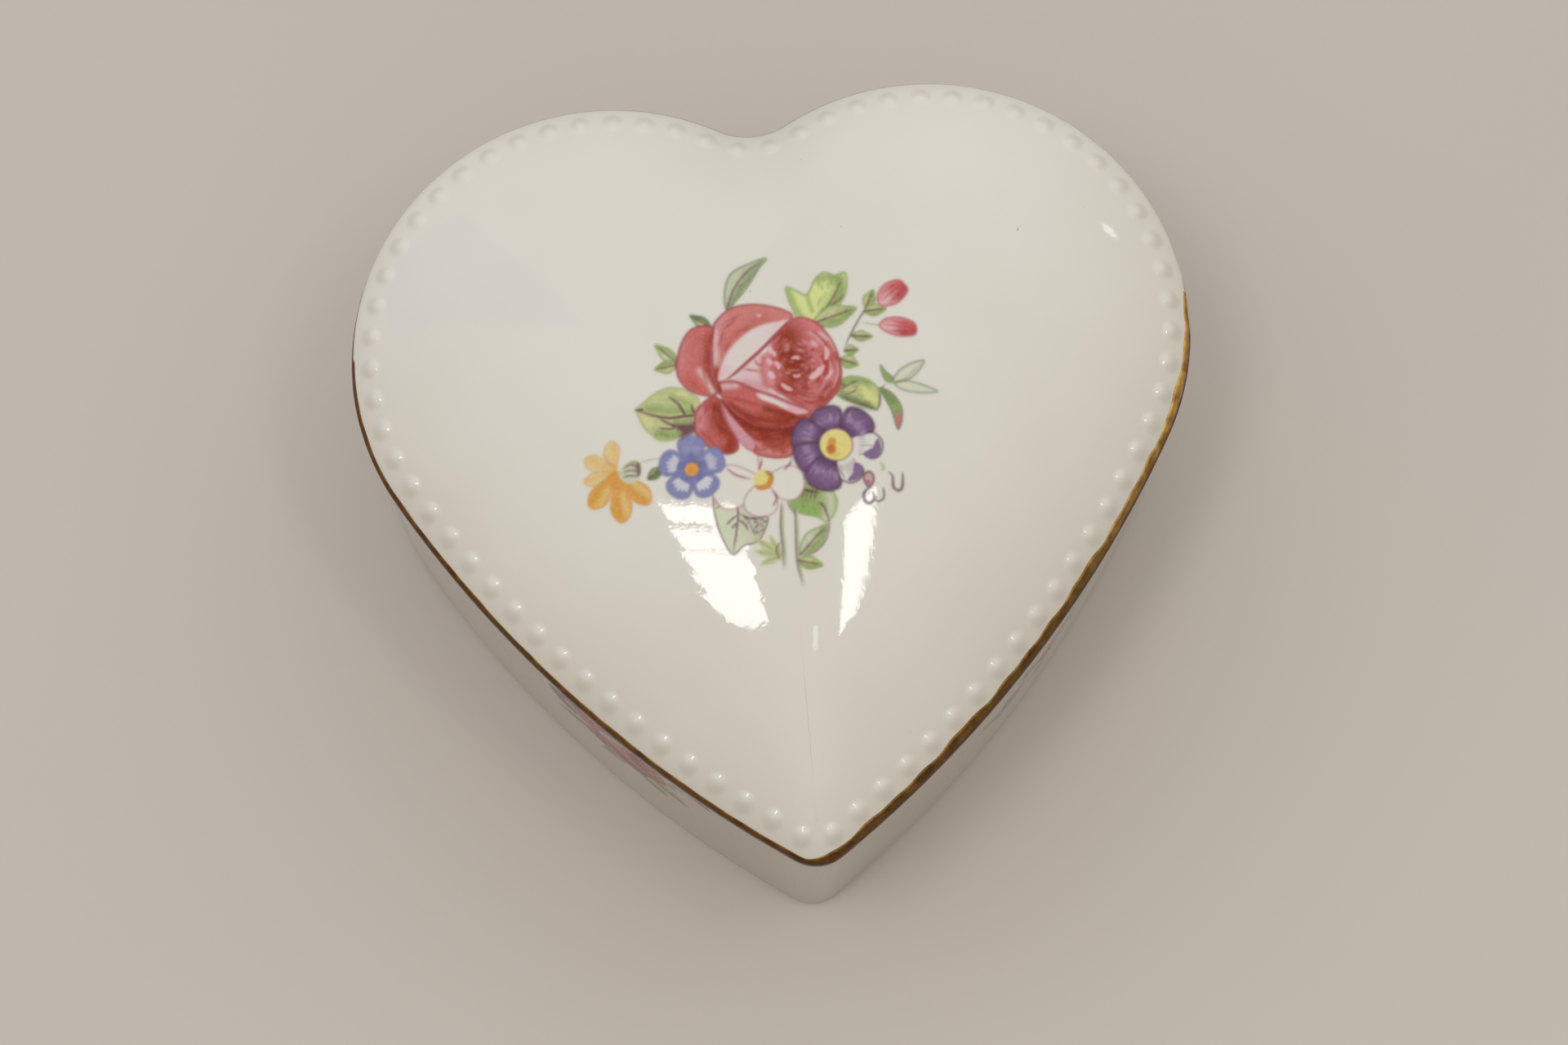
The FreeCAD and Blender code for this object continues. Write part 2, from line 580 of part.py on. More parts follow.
def make_bedplate():
    left = f"(dims.barrel_x - {CUP_RADIUS} - dims.bed_margin)"
    right = f"({GOV_POST_END} + dims.gov_screw_out + dims.screw_head + dims.shaft_end)"
    rear = f"({GOV_Y} + dims.post_half + dims.bed_margin)"
    front = f"(dims.axis_y - {CUP_RADIUS} - dims.bed_margin)"
    block_left = DRUM_X
    block_right = f"({DRUM_X} + {DRUM_LENGTH})"
    main = box("bed_main", left, right, front, rear, FLOOR_TOP, BED_TOP)
    comb_part = box("bed_comb", block_left, block_right, COMB_BACK, "dims.axis_y", FLOOR_TOP, BED_TOP)
    block_front = f"({COMB_ROOT} - dims.tip_gap)"
    block = box("bed_comb_block", block_left, block_right, COMB_BACK, block_front, FLOOR_TOP, COMB_BOTTOM)
    tongue = box(
        "bed_tongue", f"({right} - dims.bed_margin)", PLUNGER_X,
        f"({WORM_Y} - dims.guide_radius)", f"({WORM_Y} + dims.guide_radius)", FLOOR_TOP, BED_TOP,
    )
    tongue_end = cylinder("bed_tongue_end", "dims.guide_radius", "dims.bed_thick", PLUNGER_X, WORM_Y, FLOOR_TOP)
    plate = fuse("bed_blank", main, comb_part, block, tongue, tongue_end)
    bush_hole = f"{BUSH_RADIUS} + dims.seat_gap"
    holes = [cylinder("bush_hole", bush_hole, "dims.bed_thick", *SPRING_AXIS, FLOOR_TOP)]
    for i, (x, y) in enumerate(FLOOR_SCREWS + FRAME_SCREWS):
        holes.append(screw_hole(f"bed_hole_{i}", x, y, FLOOR_TOP, BED_TOP))
    for i, (x, y) in enumerate(COMB_SCREWS):
        hole_bottom = f"({COMB_BOTTOM} - dims.comb_screw_depth)"
        holes.append(screw_hole(f"comb_block_hole_{i}", x, y, hole_bottom, COMB_BOTTOM))
    piece(cut("bedplate", plate, *holes), "bedplate")
    bush = cylinder("bush_outside", BUSH_RADIUS, "dims.bed_thick", *SPRING_AXIS, FLOOR_TOP)
    bore = cylinder("bush_bore", "dims.arbor_radius + dims.run_gap", "dims.bed_thick", *SPRING_AXIS, FLOOR_TOP)
    piece(cut("arbor_bush", bush, bore), "arbor_bush")


def bearing_post(name, x, last_y, screw_at, bores):
    """An upright plate on a screwed foot; bores are (name, radius, y) along X at the axis height."""
    end = f"({x} + dims.post_thick)"
    screw_x, screw_y = screw_at
    top = f"({AXIS_Z} + dims.post_half)"
    rear = f"({last_y} + dims.post_half)"
    upright = box(f"{name}_upright", x, end, "(dims.axis_y - dims.post_half)", rear, BED_TOP, top)
    foot_ends = sorted(("dims.axis_y", screw_y), key=value)
    web = box(f"{name}_web", x, end, *foot_ends, BED_TOP, FRAME_FOOT_TOP)
    lug = box(
        f"{name}_lug", f"({screw_x} - dims.lug_half)", f"({screw_x} + dims.lug_half)",
        f"({screw_y} - dims.lug_half)", f"({screw_y} + dims.lug_half)", BED_TOP, FRAME_FOOT_TOP,
    )
    holes = [screw_hole(f"{name}_foot_hole", screw_x, screw_y, BED_TOP, FRAME_FOOT_TOP)]
    for bore, radius, y in bores:
        bore_radius = f"{radius} + dims.run_gap"
        holes.append(cylinder(f"{name}_{bore}", bore_radius, "dims.post_thick", x, y, AXIS_Z, "X"))
    return cut(name, fuse(f"{name}_blank", upright, web, lug), *holes)


def make_bearing_posts():
    shaft_bore = ("bore", "dims.shaft_radius", "dims.axis_y")
    small_bore = ("small_bore", "dims.gov_arbor_radius", GOV_Y)
    left = bearing_post("left_bearing_post", LEFT_POST_X, "dims.axis_y", FRAME_SCREWS[0], [shaft_bore])
    piece(left, "left_bearing_post")
    right = bearing_post("right_bearing_post", RIGHT_POST_X, GOV_Y, FRAME_SCREWS[1], [shaft_bore, small_bore])
    piece(right, "right_bearing_post")


# Spring, arbor and key

def make_spring_drive():
    at = SPRING_AXIS
    height = f"({WHEEL_BOTTOM} - dims.part_gap - {BED_TOP})"
    outside = cylinder("cup_outside", CUP_RADIUS, height, *at, BED_TOP)
    cup_floor = f"({BED_TOP} + dims.cup_wall)"
    inside = cylinder("cup_inside", f"{CUP_RADIUS} - dims.cup_wall", height, *at, cup_floor)
    hole = cylinder("cup_hole", f"{BUSH_RADIUS}", "dims.cup_wall", *at, BED_TOP)
    piece(cut("spring_housing", outside, inside, hole), "spring_housing")

    key_top = "(dims.foot_height - dims.grommet_thick - dims.tip_gap)"
    shaft_bottom = "(dims.key_lift + dims.key_socket)"
    core_bottom = f"({SPRING_BOTTOM} - dims.part_gap)"
    core_top = f"({WHEEL_BOTTOM} - dims.touch_gap)"
    shaft_top = f"({WHEEL_TOP} + dims.arbor_end)"
    shaft = cylinder("arbor_shaft", "dims.arbor_radius", f"{shaft_top} - {shaft_bottom}", *at, shaft_bottom)
    core = cylinder("arbor_core", "dims.core_radius", f"{core_top} - {core_bottom}", *at, core_bottom)
    piece(fuse("winding_arbor", shaft, core), "winding_arbor")
    clip_bottom = f"({WHEEL_TOP} + dims.touch_gap)"
    clip = cylinder("clip_outside", "dims.arbor_radius + dims.clip_width", "dims.clip_thick", *at, clip_bottom)
    clip_hole = cylinder("clip_hole", "dims.arbor_radius + dims.seat_gap", "dims.clip_thick", *at, clip_bottom)
    piece(cut("wheel_clip", clip, clip_hole), "wheel_clip")

    middle = "(dims.key_lift + dims.key_wing)"
    wing_x = "dims.key_span / 2 - dims.key_wing"
    half = "dims.key_thick / 2"
    solids, holes = [], []
    for name, sign in (("left", "-"), ("right", "+")):
        x = f"(dims.barrel_x {sign} ({wing_x}))"
        wing_y = f"(dims.axis_y - {half})"
        solids.append(cylinder(f"{name}_wing", "dims.key_wing", "dims.key_thick", x, wing_y, middle, "Y"))
        hole_radius = "dims.key_wing - dims.key_thick"
        holes.append(cylinder(f"{name}_wing_hole", hole_radius, "dims.key_thick", x, wing_y, middle, "Y"))
    solids.append(box(
        "key_web", f"(dims.barrel_x - ({wing_x}))", f"(dims.barrel_x + ({wing_x}))",
        f"(dims.axis_y - {half})", f"(dims.axis_y + {half})",
        f"({middle} - dims.key_web / 2)", f"({middle} + dims.key_web / 2)",
    ))
    boss_bottom = "(dims.key_lift + dims.key_hub_lift)"
    solids.append(cylinder("key_hub", "dims.key_boss", f"{key_top} - {boss_bottom}", *at, boss_bottom))
    socket_bottom = f"({shaft_bottom} - dims.touch_gap)"
    socket_radius = "dims.arbor_radius + dims.seat_gap"
    holes.append(cylinder("key_bore", socket_radius, f"{key_top} - {socket_bottom}", *at, socket_bottom))
    piece(cut("winding_key", fuse("key_blank", *solids), *holes), "winding_key")

    rim_bottom = "(dims.foot_height - dims.grommet_thick)"
    lining_height = "dims.floor_thick - dims.tip_gap"
    lining = cylinder("grommet_tube", GROMMET_RADIUS, lining_height, *at, "dims.foot_height")
    rim_radius = f"{GROMMET_RADIUS} + dims.grommet_flange"
    flange = cylinder("grommet_rim", rim_radius, "dims.grommet_thick", *at, rim_bottom)
    bore = cylinder("grommet_bore", GROMMET_BORE, "dims.floor_thick + dims.grommet_thick", *at, rim_bottom)
    piece(cut("floor_grommet", fuse("grommet_blank", lining, flange), bore), "floor_grommet")


def coil(name, x, y, bottom, radius, wire, pitch, turns):
    """A round-wire coil about an upright axis."""
    helix = Part.makeHelix(pitch, pitch * turns, radius)
    start = Part.Wire(Part.makeCircle(wire, Vector(radius, 0, 0), Vector(0, 1, 0)))
    shape = Part.Wire(helix).makePipeShell([start], True, True)
    print(name, "gap between turns", round(pitch - 2 * wire, 3))
    return solid(name, shape, x, y, f"{bottom} + {wire}")


def spiral_arcs(inner, pitch, half_turns):
    """Half-turn arcs of a spiral; the radius grows by half a pitch each time."""
    edges = []
    for number in range(half_turns):
        side = 1 if number % 2 == 0 else -1
        centre = Vector(0 if side > 0 else pitch / 2, 0, 0)
        radius = inner + pitch / 2 * number
        start, end = centre + Vector(side * radius, 0, 0), centre - Vector(side * radius, 0, 0)
        edges.append(Part.Arc(start, centre + Vector(0, side * radius, 0), end).toShape())
    return edges


def make_mainspring():
    """A flat strip on edge, wound as a spiral from the arbor to the great wheel's hook."""
    strip, turns = value("dims.spring_strip"), int(value("dims.spring_turns"))
    gap = value("dims.part_gap")
    inner = value("dims.core_radius") + gap
    outer = value(CUP_RADIUS) - value("dims.cup_wall") - 2 * value("dims.hook_radius") - gap
    pitch = (outer - strip - inner) / turns
    print("mainspring gap between turns", round(pitch - strip, 3))
    near = spiral_arcs(inner, pitch, 2 * turns)
    far = spiral_arcs(inner + strip, pitch, 2 * turns)
    ends = [
        Part.makeLine(near[0].firstVertex().Point, far[0].firstVertex().Point),
        Part.makeLine(near[-1].lastVertex().Point, far[-1].lastVertex().Point),
    ]
    face = Part.Face(Part.Wire(Part.__sortEdges__(near + far + ends)))
    shape = face.extrude(Vector(0, 0, value(SPRING_TOP) - value(SPRING_BOTTOM)))
    return piece(solid("mainspring", shape, "dims.barrel_x", "dims.axis_y", SPRING_BOTTOM), "mainspring")


def make_clutch_spring():
    wire = value("dims.clutch_wire") / 2
    radius = value("dims.arbor_radius") + value("dims.tip_gap") + wire
    bottom = f"({BED_TOP} + dims.cup_wall + dims.run_gap)"
    pitch, turns = value("dims.clutch_pitch"), 2
    clutch = coil("clutch_spring", "dims.barrel_x", "dims.axis_y", bottom, radius, wire, pitch, turns)
    return piece(clutch, "clutch_spring")


def make_great_wheel():
    module, teeth = value("dims.crown_module"), int(value("dims.crown_teeth"))
    face, slack = value("dims.crown_face"), value("dims.tooth_slack")
    pitch_radius, plane = value(CROWN_PITCH), value(CROWN_PLANE)
    bottom, thick = value(WHEEL_BOTTOM), value("dims.wheel_thick")
    inner = pitch_radius - face / 2
    half = (math.pi * module / 2 - slack) / 2
    slope = math.tan(PRESSURE)
    tip_z, root_z = plane - CROWN_TIP * module, bottom
    tip_half = half - slope * (plane - tip_z)
    root_half = half + slope * (root_z - plane)
    profile = [
        Vector(inner, -tip_half, tip_z), Vector(inner, tip_half, tip_z),
        Vector(inner, root_half, root_z), Vector(inner, -root_half, root_z),
    ]
    tooth = Part.Face(Part.makePolygon(profile + profile[:1])).extrude(Vector(face, 0, 0))
    solids = []
    for number in range(teeth):
        copy = tooth.copy()
        copy.rotate(Vector(), Vector(0, 0, 1), 360 * (number + 0.5) / teeth)
        solids.append(copy)
    hook_radius = value("dims.hook_radius")
    hook_at = value(CUP_RADIUS) - value("dims.cup_wall") - hook_radius - value("dims.tip_gap")
    hook_bottom = value(SPRING_BOTTOM)
    solids.append(Part.makeCylinder(hook_radius, bottom - hook_bottom, Vector(-hook_at, 0, hook_bottom)))
    disc = Part.makeCylinder(value(CROWN_OUT), thick, Vector(0, 0, bottom))
    wheel = disc.multiFuse(solids).removeSplitter()
    bore = Part.makeCylinder(value("dims.arbor_radius + dims.run_gap"), thick, Vector(0, 0, bottom))
    return piece(solid("great_wheel", wheel.cut(bore), "dims.barrel_x", "dims.axis_y"), "great_wheel")


# Toothed wheels with their axis along X

def gear_outline(teeth, module, slack, phase):
    """Points round an involute gear, a tooth centred on the phase angle."""
    pitch_r = module * teeth / 2
    base_r = pitch_r * math.cos(PRESSURE)
    root_r, tip_r = pitch_r - GEAR_ROOT * module, pitch_r + GEAR_TIP * module
    involute = math.tan(PRESSURE) - PRESSURE
    half = (math.pi * module / 2 - slack) / 2 / pitch_r

    def flank(radius):
        if radius <= base_r:
            return half + involute
        pressure = math.acos(base_r / radius)
        return half + involute - (math.tan(pressure) - pressure)

    radii = [root_r, max(root_r, base_r) + 0.05 * module, pitch_r + 0.1 * module, tip_r]
    points = []
    for number in range(teeth):
        middle = phase + 2 * math.pi * number / teeth
        for side, order in ((-1, radii), (1, radii[::-1])):
            for radius in order:
                turn = middle + side * flank(radius)
                points.append((radius * math.cos(turn), radius * math.sin(turn)))
    return points


def gear_along_x(name, teeth, module, slack, phase, x, width, y, z, bore):
    """A spur gear; angles are measured from +Y towards +Z."""
    start = value(x)
    centre = Vector(start, value(y), value(z))
    points = [centre + Vector(0, u, v) for u, v in gear_outline(teeth, module, slack, phase)]
    blank = Part.Face(Part.makePolygon(points + points[:1])).extrude(Vector(value(width), 0, 0))
    hole = Part.makeCylinder(value(bore), value(width), centre, Vector(1, 0, 0))
    return piece(solid(name, blank.cut(hole)), name)


def make_cylinder():
    shaft_start = f"({PINION_X} - dims.crown_face / 2)"
    shaft_end = f"({RIGHT_POST_X} + dims.post_thick + dims.shaft_end)"
    at = ("dims.axis_y", AXIS_Z)
    length = f"{shaft_end} - {shaft_start}"
    piece(cylinder("cylinder_shaft", "dims.shaft_radius", length, shaft_start, *at, "X"), "cylinder_shaft")
    bore = "dims.shaft_radius + dims.seat_gap"
    teeth, module = int(value("dims.pinion_teeth")), value("dims.crown_module")
    slack = value("dims.tooth_slack")
    upright = math.pi / 2
    gear_along_x("cylinder_pinion", teeth, module, slack, upright, shaft_start, "dims.crown_face", *at, bore)
    teeth, module = int(value("dims.gear_teeth")), value("dims.gear_module")
    gear_along_x("cylinder_gear", teeth, module, slack, 0, GEAR_X, "dims.gear_face", *at, bore)
    caps = []
    for name, x in (("left", DRUM_X), ("right", f"({DRUM_X} + {DRUM_LENGTH} - dims.drum_cap)")):
        disc_radius = "dims.cyl_radius - dims.drum_wall - dims.seat_gap"
        disc = cylinder(f"{name}_cap_disc", disc_radius, "dims.drum_cap", x, *at, "X")
        hole = cylinder(f"{name}_cap_hole", bore, "dims.drum_cap", x, *at, "X")
        caps.append(cut(f"{name}_cap", disc, hole))
    piece(group("cylinder_end_caps", *caps), "cylinder_end_caps")
    make_drum()


PIN_COLUMNS = 44
PINS_PER_TRACK = 6


def make_drum():
    """The tube with its pins: each comb tooth has its own track, pinned to a repeating figure."""
    radius, wall = value("dims.cyl_radius"), value("dims.drum_wall")
    start, length = value(DRUM_X), value(DRUM_LENGTH)
    centre = Vector(start, value("dims.axis_y"), value(AXIS_Z))
    along = Vector(1, 0, 0)
    pin_radius = value("dims.pin_radius")
    pins = []
    for track in range(int(value("dims.comb_teeth"))):
        x = value(COMB_X) - start + value("dims.comb_pitch") * (track + 0.5)
        for beat in range(PINS_PER_TRACK):
            column = (5 * track + 7 * beat + track * beat) % PIN_COLUMNS
            turn = 2 * math.pi * (column + 0.5) / PIN_COLUMNS
            out = Vector(0, math.cos(turn), math.sin(turn))
            foot = centre + along * x + out * (radius - wall / 2)
            pins.append(Part.makeCylinder(pin_radius, wall / 2 + value("dims.pin_height"), foot, out))
    tube = Part.makeCylinder(radius, length, centre, along)
    tube = tube.multiFuse(pins)
    tube = tube.cut(Part.makeCylinder(radius - wall, length, centre, along))
    return piece(solid("cylinder_drum", tube), "cylinder_drum")


def make_comb():
    body = doc.addObject("PartDesign::Body", "comb")
    length = f"{COMB_TIP} - {COMB_BACK}"
    plate = rectangle_sketch(body, "comb_plate_outline", COMB_BOTTOM, COMB_X, COMB_BACK, COMB_LENGTH, length)
    pad(body, "comb_plate", plate, "dims.comb_thick")
    slot_x = f"({COMB_X} + dims.comb_pitch - dims.comb_slot / 2)"
    top = f"({COMB_BOTTOM} + dims.comb_thick)"
    slot_size = ("dims.comb_slot", "dims.tooth_length + dims.tip_gap")
    slot = rectangle_sketch(body, "comb_slot_outline", top, slot_x, COMB_ROOT, *slot_size)
    first = pocket(body, "comb_first_slot", slot, "dims.comb_thick")
    row = body.newObject("PartDesign::LinearPattern", "comb_slots")
    row.Originals = [first]
    row.Direction = (slot, ["H_Axis"])
    bind(row, Length="dims.comb_pitch * (dims.comb_teeth - 2)", Occurrences="dims.comb_teeth - 1")
    body.Tip = row
    holes = [(x, y, "(dims.screw_radius + dims.touch_gap)") for x, y in COMB_SCREWS]
    pocket(body, "comb_holes", circle_sketch(body, "comb_holes_outline", top, holes), "dims.comb_thick")
    return piece(body, "comb")


# Governor and stop

def make_governor():
    end = f"({GOV_POST_END} + dims.shaft_end)"
    start = f"({GEAR_X} - dims.tip_gap)"
    at = (GOV_Y, AXIS_Z)
    arbor = cylinder("governor_arbor", "dims.gov_arbor_radius", f"{end} - {start}", start, *at, "X")
    piece(arbor, "governor_arbor")
    bore = "dims.gov_arbor_radius + dims.seat_gap"
    module, slack = value("dims.gear_module"), value("dims.tooth_slack")
    teeth = int(value("dims.small_teeth"))
    gap_phase = math.pi + math.pi / teeth
    width = "dims.gear_face + 2 * dims.tip_gap"
    gear_along_x("governor_pinion", teeth, module, slack, gap_phase, start, width, *at, bore)
    teeth = int(value("dims.worm_wheel_teeth"))
    gap_phase = math.pi + math.pi / teeth
    wheel_x = f"({WORM_X} - dims.worm_wheel_face / 2)"
    gear_along_x("worm_wheel", teeth, module, slack, gap_phase, wheel_x, "dims.worm_wheel_face", *at, bore)

    foot_end = f"({GOV_POST_END} + dims.gov_screw_out + dims.screw_head)"
    foot_rear = f"({GOV_Y} + dims.post_half)"
    foot_front = f"({WORM_Y} - dims.post_half)"
    arm_start = f"({WORM_X} - dims.worm_radius)"
    foot = box("gov_foot", arm_start, foot_end, foot_front, foot_rear, BED_TOP, FRAME_FOOT_TOP)
    arm_top = f"({ARM_BOTTOM} + dims.frame_thick)"
    post = box("gov_post", GOV_POST_X, GOV_POST_END, foot_front, foot_rear, BED_TOP, arm_top)
    arm = box(
        "gov_arm", arm_start, GOV_POST_END, foot_front, f"({WORM_Y} + dims.post_half)",
        ARM_BOTTOM, arm_top,
    )
    bore_radius = "dims.worm_shaft_radius + dims.run_gap"
    worm_bore = cylinder("gov_worm_bore", bore_radius, f"{FAN_BOTTOM} - {BED_TOP}", WORM_X, WORM_Y, BED_TOP)
    bore_radius = "dims.gov_arbor_radius + dims.run_gap"
    arbor_bore = cylinder("gov_arbor_bore", bore_radius, "dims.post_thick", GOV_POST_X, *at, "X")
    hole = screw_hole("gov_foot_hole", *FRAME_SCREWS[2], BED_TOP, FRAME_FOOT_TOP)
    frame = fuse("gov_blank", foot, post, arm)
    piece(cut("governor_frame", frame, worm_bore, arbor_bore, hole), "governor_frame")
    make_worm()

    fan_at = (WORM_X, WORM_Y, FAN_BOTTOM)
    hub = cylinder("fan_hub", "dims.worm_shaft_radius + dims.fan_blade", "dims.fan_height", *fan_at)
    blades = box(
        "fan_blades", f"({WORM_X} - dims.fan_radius)", f"({WORM_X} + dims.fan_radius)",
        f"({WORM_Y} - dims.fan_blade / 2)", f"({WORM_Y} + dims.fan_blade / 2)", FAN_BOTTOM, FAN_TOP,
    )
    fan_bore = cylinder("fan_bore", "dims.worm_shaft_radius + dims.seat_gap", "dims.fan_height", *fan_at)
    piece(cut("governor_fan", fuse("fan_blank", hub, blades), fan_bore), "governor_fan")


def make_worm():
    """A single-start right-hand worm on its shaft; a thread crest faces the wheel at the arbor's height."""
    module, slack = value("dims.gear_module"), value("dims.tooth_slack")
    radius, turns = value("dims.worm_radius"), value("dims.worm_turns")
    pitch = math.pi * module
    slope = math.tan(PRESSURE)
    half = (pitch / 2 - slack) / 2
    root_r, tip_r = radius - WORM_ROOT * module, radius + GEAR_TIP * module
    buried = root_r - value("dims.tip_gap")
    axis_z = value(AXIS_Z)
    start_z = axis_z - pitch / 4 - pitch * (turns / 2)
    tip_half = half - slope * (tip_r - radius)
    root_half = half + slope * (radius - buried)
    profile = [
        Vector(buried, 0, -root_half), Vector(tip_r, 0, -tip_half),
        Vector(tip_r, 0, tip_half), Vector(buried, 0, root_half),
    ]
    helix = Part.Wire(Part.makeHelix(pitch, pitch * turns, radius))
    thread = helix.makePipeShell([Part.makePolygon(profile + profile[:1])], True, True)
    thread.translate(Vector(0, 0, start_z))
    core = Part.makeCylinder(root_r, pitch * (turns + 1), Vector(0, 0, start_z - pitch / 2))
    core.rotate(Vector(), Vector(0, 0, 1), 180)
    shaft_bottom = value(BED_TOP) + value("dims.tip_gap")
    shaft_top = value(FAN_TOP)
    shaft_r = value("dims.worm_shaft_radius")
    shaft = Part.makeCylinder(shaft_r, shaft_top - shaft_bottom, Vector(0, 0, shaft_bottom))
    worm = core.fuse(shaft).fuse(thread)
    return piece(solid("governor_worm", worm, WORM_X, WORM_Y), "governor_worm")


def make_stop():
    at = (PLUNGER_X, WORM_Y)
    rod_bottom = f"({BED_TOP} + dims.tip_gap)"
    rod_top = f"({FLANGE_BOTTOM} - dims.touch_gap)"
    rod = cylinder("stop_rod", "dims.plunger_radius", f"{rod_top} - {rod_bottom}", *at, rod_bottom)
    collar = cylinder("stop_collar", "dims.guide_radius", "dims.stop_arm_thick", *at, STOP_ARM_Z)
    arm = box(
        "stop_arm", f"({WORM_X} + dims.fan_radius + dims.stop_gap)", PLUNGER_X,
        f"({WORM_Y} - dims.stop_arm / 2)", f"({WORM_Y} + dims.stop_arm / 2)",
        STOP_ARM_Z, f"({STOP_ARM_Z} + dims.stop_arm_thick)",
    )
    piece(fuse("stop_plunger", rod, collar, arm), "stop_plunger")
    height = f"{GUIDE_TOP} - {BED_TOP}"
    tube = cylinder("guide_tube", "dims.guide_radius", height, *at, BED_TOP)
    bore = cylinder("guide_bore", "dims.plunger_radius + dims.run_gap", height, *at, BED_TOP)
    piece(cut("stop_guide", tube, bore), "stop_guide")
    wire, end_gap = value("dims.coil_wire") / 2, value("dims.run_gap")
    turns = 3
    pitch = (value("dims.stop_spring_room") - 2 * wire - 2 * end_gap) / turns
    radius = value("dims.plunger_radius") + value("dims.tip_gap") + wire
    spring = coil("stop_spring", *at, f"({GUIDE_TOP} + dims.run_gap)", radius, wire, pitch, turns)
    piece(spring, "stop_spring")


def main():
    make_lid()
    make_base_box()
    make_movement_cover()
    make_fasteners()
    make_bedplate()
    make_bearing_posts()
    make_spring_drive()
    make_great_wheel()
    make_mainspring()
    make_clutch_spring()
    make_cylinder()
    make_comb()
    make_governor()
    make_stop()
    doc.recompute()
    faults = [obj.Name for obj in doc.Objects if "Invalid" in obj.State or "Error" in obj.State]
    faults += [obj.Label for obj in PIECES if obj.Shape.isNull() or not obj.Shape.isValid()]
    if faults:
        raise RuntimeError(f"not built: {faults}")
    os.makedirs("parts", exist_ok=True)
    for obj in PIECES:
        obj.Shape.exportStep(f"parts/{obj.Label}.step")
        print(obj.Label, len(obj.Shape.Solids), round(obj.Shape.Volume, 2))


main()
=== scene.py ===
import json
import math

import bpy
import numpy as np
from mathutils import Matrix, Vector
from mathutils.bvhtree import BVHTree


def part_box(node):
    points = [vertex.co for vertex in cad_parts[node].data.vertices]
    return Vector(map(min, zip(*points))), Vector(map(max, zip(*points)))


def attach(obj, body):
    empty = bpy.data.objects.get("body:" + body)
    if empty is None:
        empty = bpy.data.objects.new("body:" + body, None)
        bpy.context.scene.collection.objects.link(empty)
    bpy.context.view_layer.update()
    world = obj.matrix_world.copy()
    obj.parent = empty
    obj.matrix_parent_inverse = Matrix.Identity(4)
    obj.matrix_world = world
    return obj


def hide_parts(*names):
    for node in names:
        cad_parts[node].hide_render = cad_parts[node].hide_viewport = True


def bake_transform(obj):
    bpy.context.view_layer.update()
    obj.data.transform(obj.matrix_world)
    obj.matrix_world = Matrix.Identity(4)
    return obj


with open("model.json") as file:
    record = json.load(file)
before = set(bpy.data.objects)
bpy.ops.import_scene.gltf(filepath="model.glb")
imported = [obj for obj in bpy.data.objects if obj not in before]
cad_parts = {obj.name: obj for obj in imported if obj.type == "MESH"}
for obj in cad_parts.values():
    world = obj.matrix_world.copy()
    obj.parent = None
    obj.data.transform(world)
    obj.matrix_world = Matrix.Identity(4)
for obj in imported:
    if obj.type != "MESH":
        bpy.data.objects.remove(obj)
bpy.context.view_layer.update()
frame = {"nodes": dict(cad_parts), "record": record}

# Lengths in this script are millimetres, and pieces are made in metres
MM = 0.001

# Heart outline: a notch, two lobes, two long sides and a tip, as arcs
LOBE_RADIUS = 34.0
NOTCH_RADIUS = 9.0
SIDE_RADIUS = 158.0
TIP_RADIUS = 5.2
OUTLINE_STEP = 0.1

# Lid: its edge, its dome, and its flange with corners rounded by shares of the half width
LID_EDGE = 1.8
LID_THICK = 3.6
EDGE_LIP = 0.08
EDGE_BREAK = 0.15
EDGE_CORNER = 0.12
EDGE_ROUND = 0.45
DOME_HEIGHT = 13.5
DOME_POWER = 0.8
FLANGE_OUTER = 5.6
FLANGE_INNER = 10.0
FLANGE_ROUND = 0.5
ROOT_SHARE = 0.012
FOOT_SHARE = 0.01
DOME_RINGS, CROWN_START = 40, 0.03
HOLLOW_RINGS, ROOF_START = 14, 0.04
BAND_STEP = 0.25

# Softening of the dome's ridge, and low swells of the glaze as (length, start)
RIDGE_SOFTNESS = 12.0
RIDGE_SPREAD = 0.75
SOFT_RINGS = 5
SOFT_DIRECTIONS = 16
UNEVEN = 0.035
UNEVEN_FADE = 6.0
UNEVEN_WAVES = (5.1, 1.3), (6.3, 0.4), (8.7, 0.0), (7.9, 2.0)

# Beads round the lid
BEAD_PITCH = 4.3
BEAD_INSET = 2.6
BEAD_RADIUS = 1.4
BEAD_HEIGHT = 0.52
BEAD_POWER = 1.5
COLUMNS_PER_BEAD = 14

# Gilt on the lid's edge: how it varies with the way the edge faces, its widths on top, how far it comes
# down, and the lengths of its uneven waves
GILT_THICK = 0.05
GILT_SHARE, GILT_FACING = (0.5, 0.6), (1.5, -1.4)
GILT_LEFT, GILT_RIGHT, GILT_LEAST = 0.5, 1.05, 0.1
GILT_WAVE, GILT_WAVES = 0.22, (5, 8.5, 13, 27)
GILT_LOW = 0.3
GILT_LOW_WAVE, GILT_LOW_WAVES = 0.12, (6, 11, 19)
GILT_WORN = 0.14
GILT_STEPS, GILT_LEAN = (1, 0.66, 0.33), 0.6

# Fired transfers: pitch of their cells, how far they stand proud, places, and the light their gloss adds
PAINT_PITCH = 0.115
LID_LIFT, WALL_LIFT = 0.02, 0.008
LEAST_COVER = 0.02
SPRAY_LOW, SPRAY_HIGH = (-23.5, -23.0), (23.5, 22.5)
SPRAY_PLACE, SPRAY_TURN = (-2.74, 3.85), math.radians(-5.3)
SPRAY_SIZE, SPRAY_BEND = 1.01, 0.0016
ENAMEL_GLOSS = 0.002
WALL_PITCH = 0.3
WALL_SIZE = 0.75
LEFT_WALL_PLACE, RIGHT_WALL_PLACE = (-24.5, -32.5, 28), (31.1, -25, 25)
SHARP_EDGE = math.radians(40)

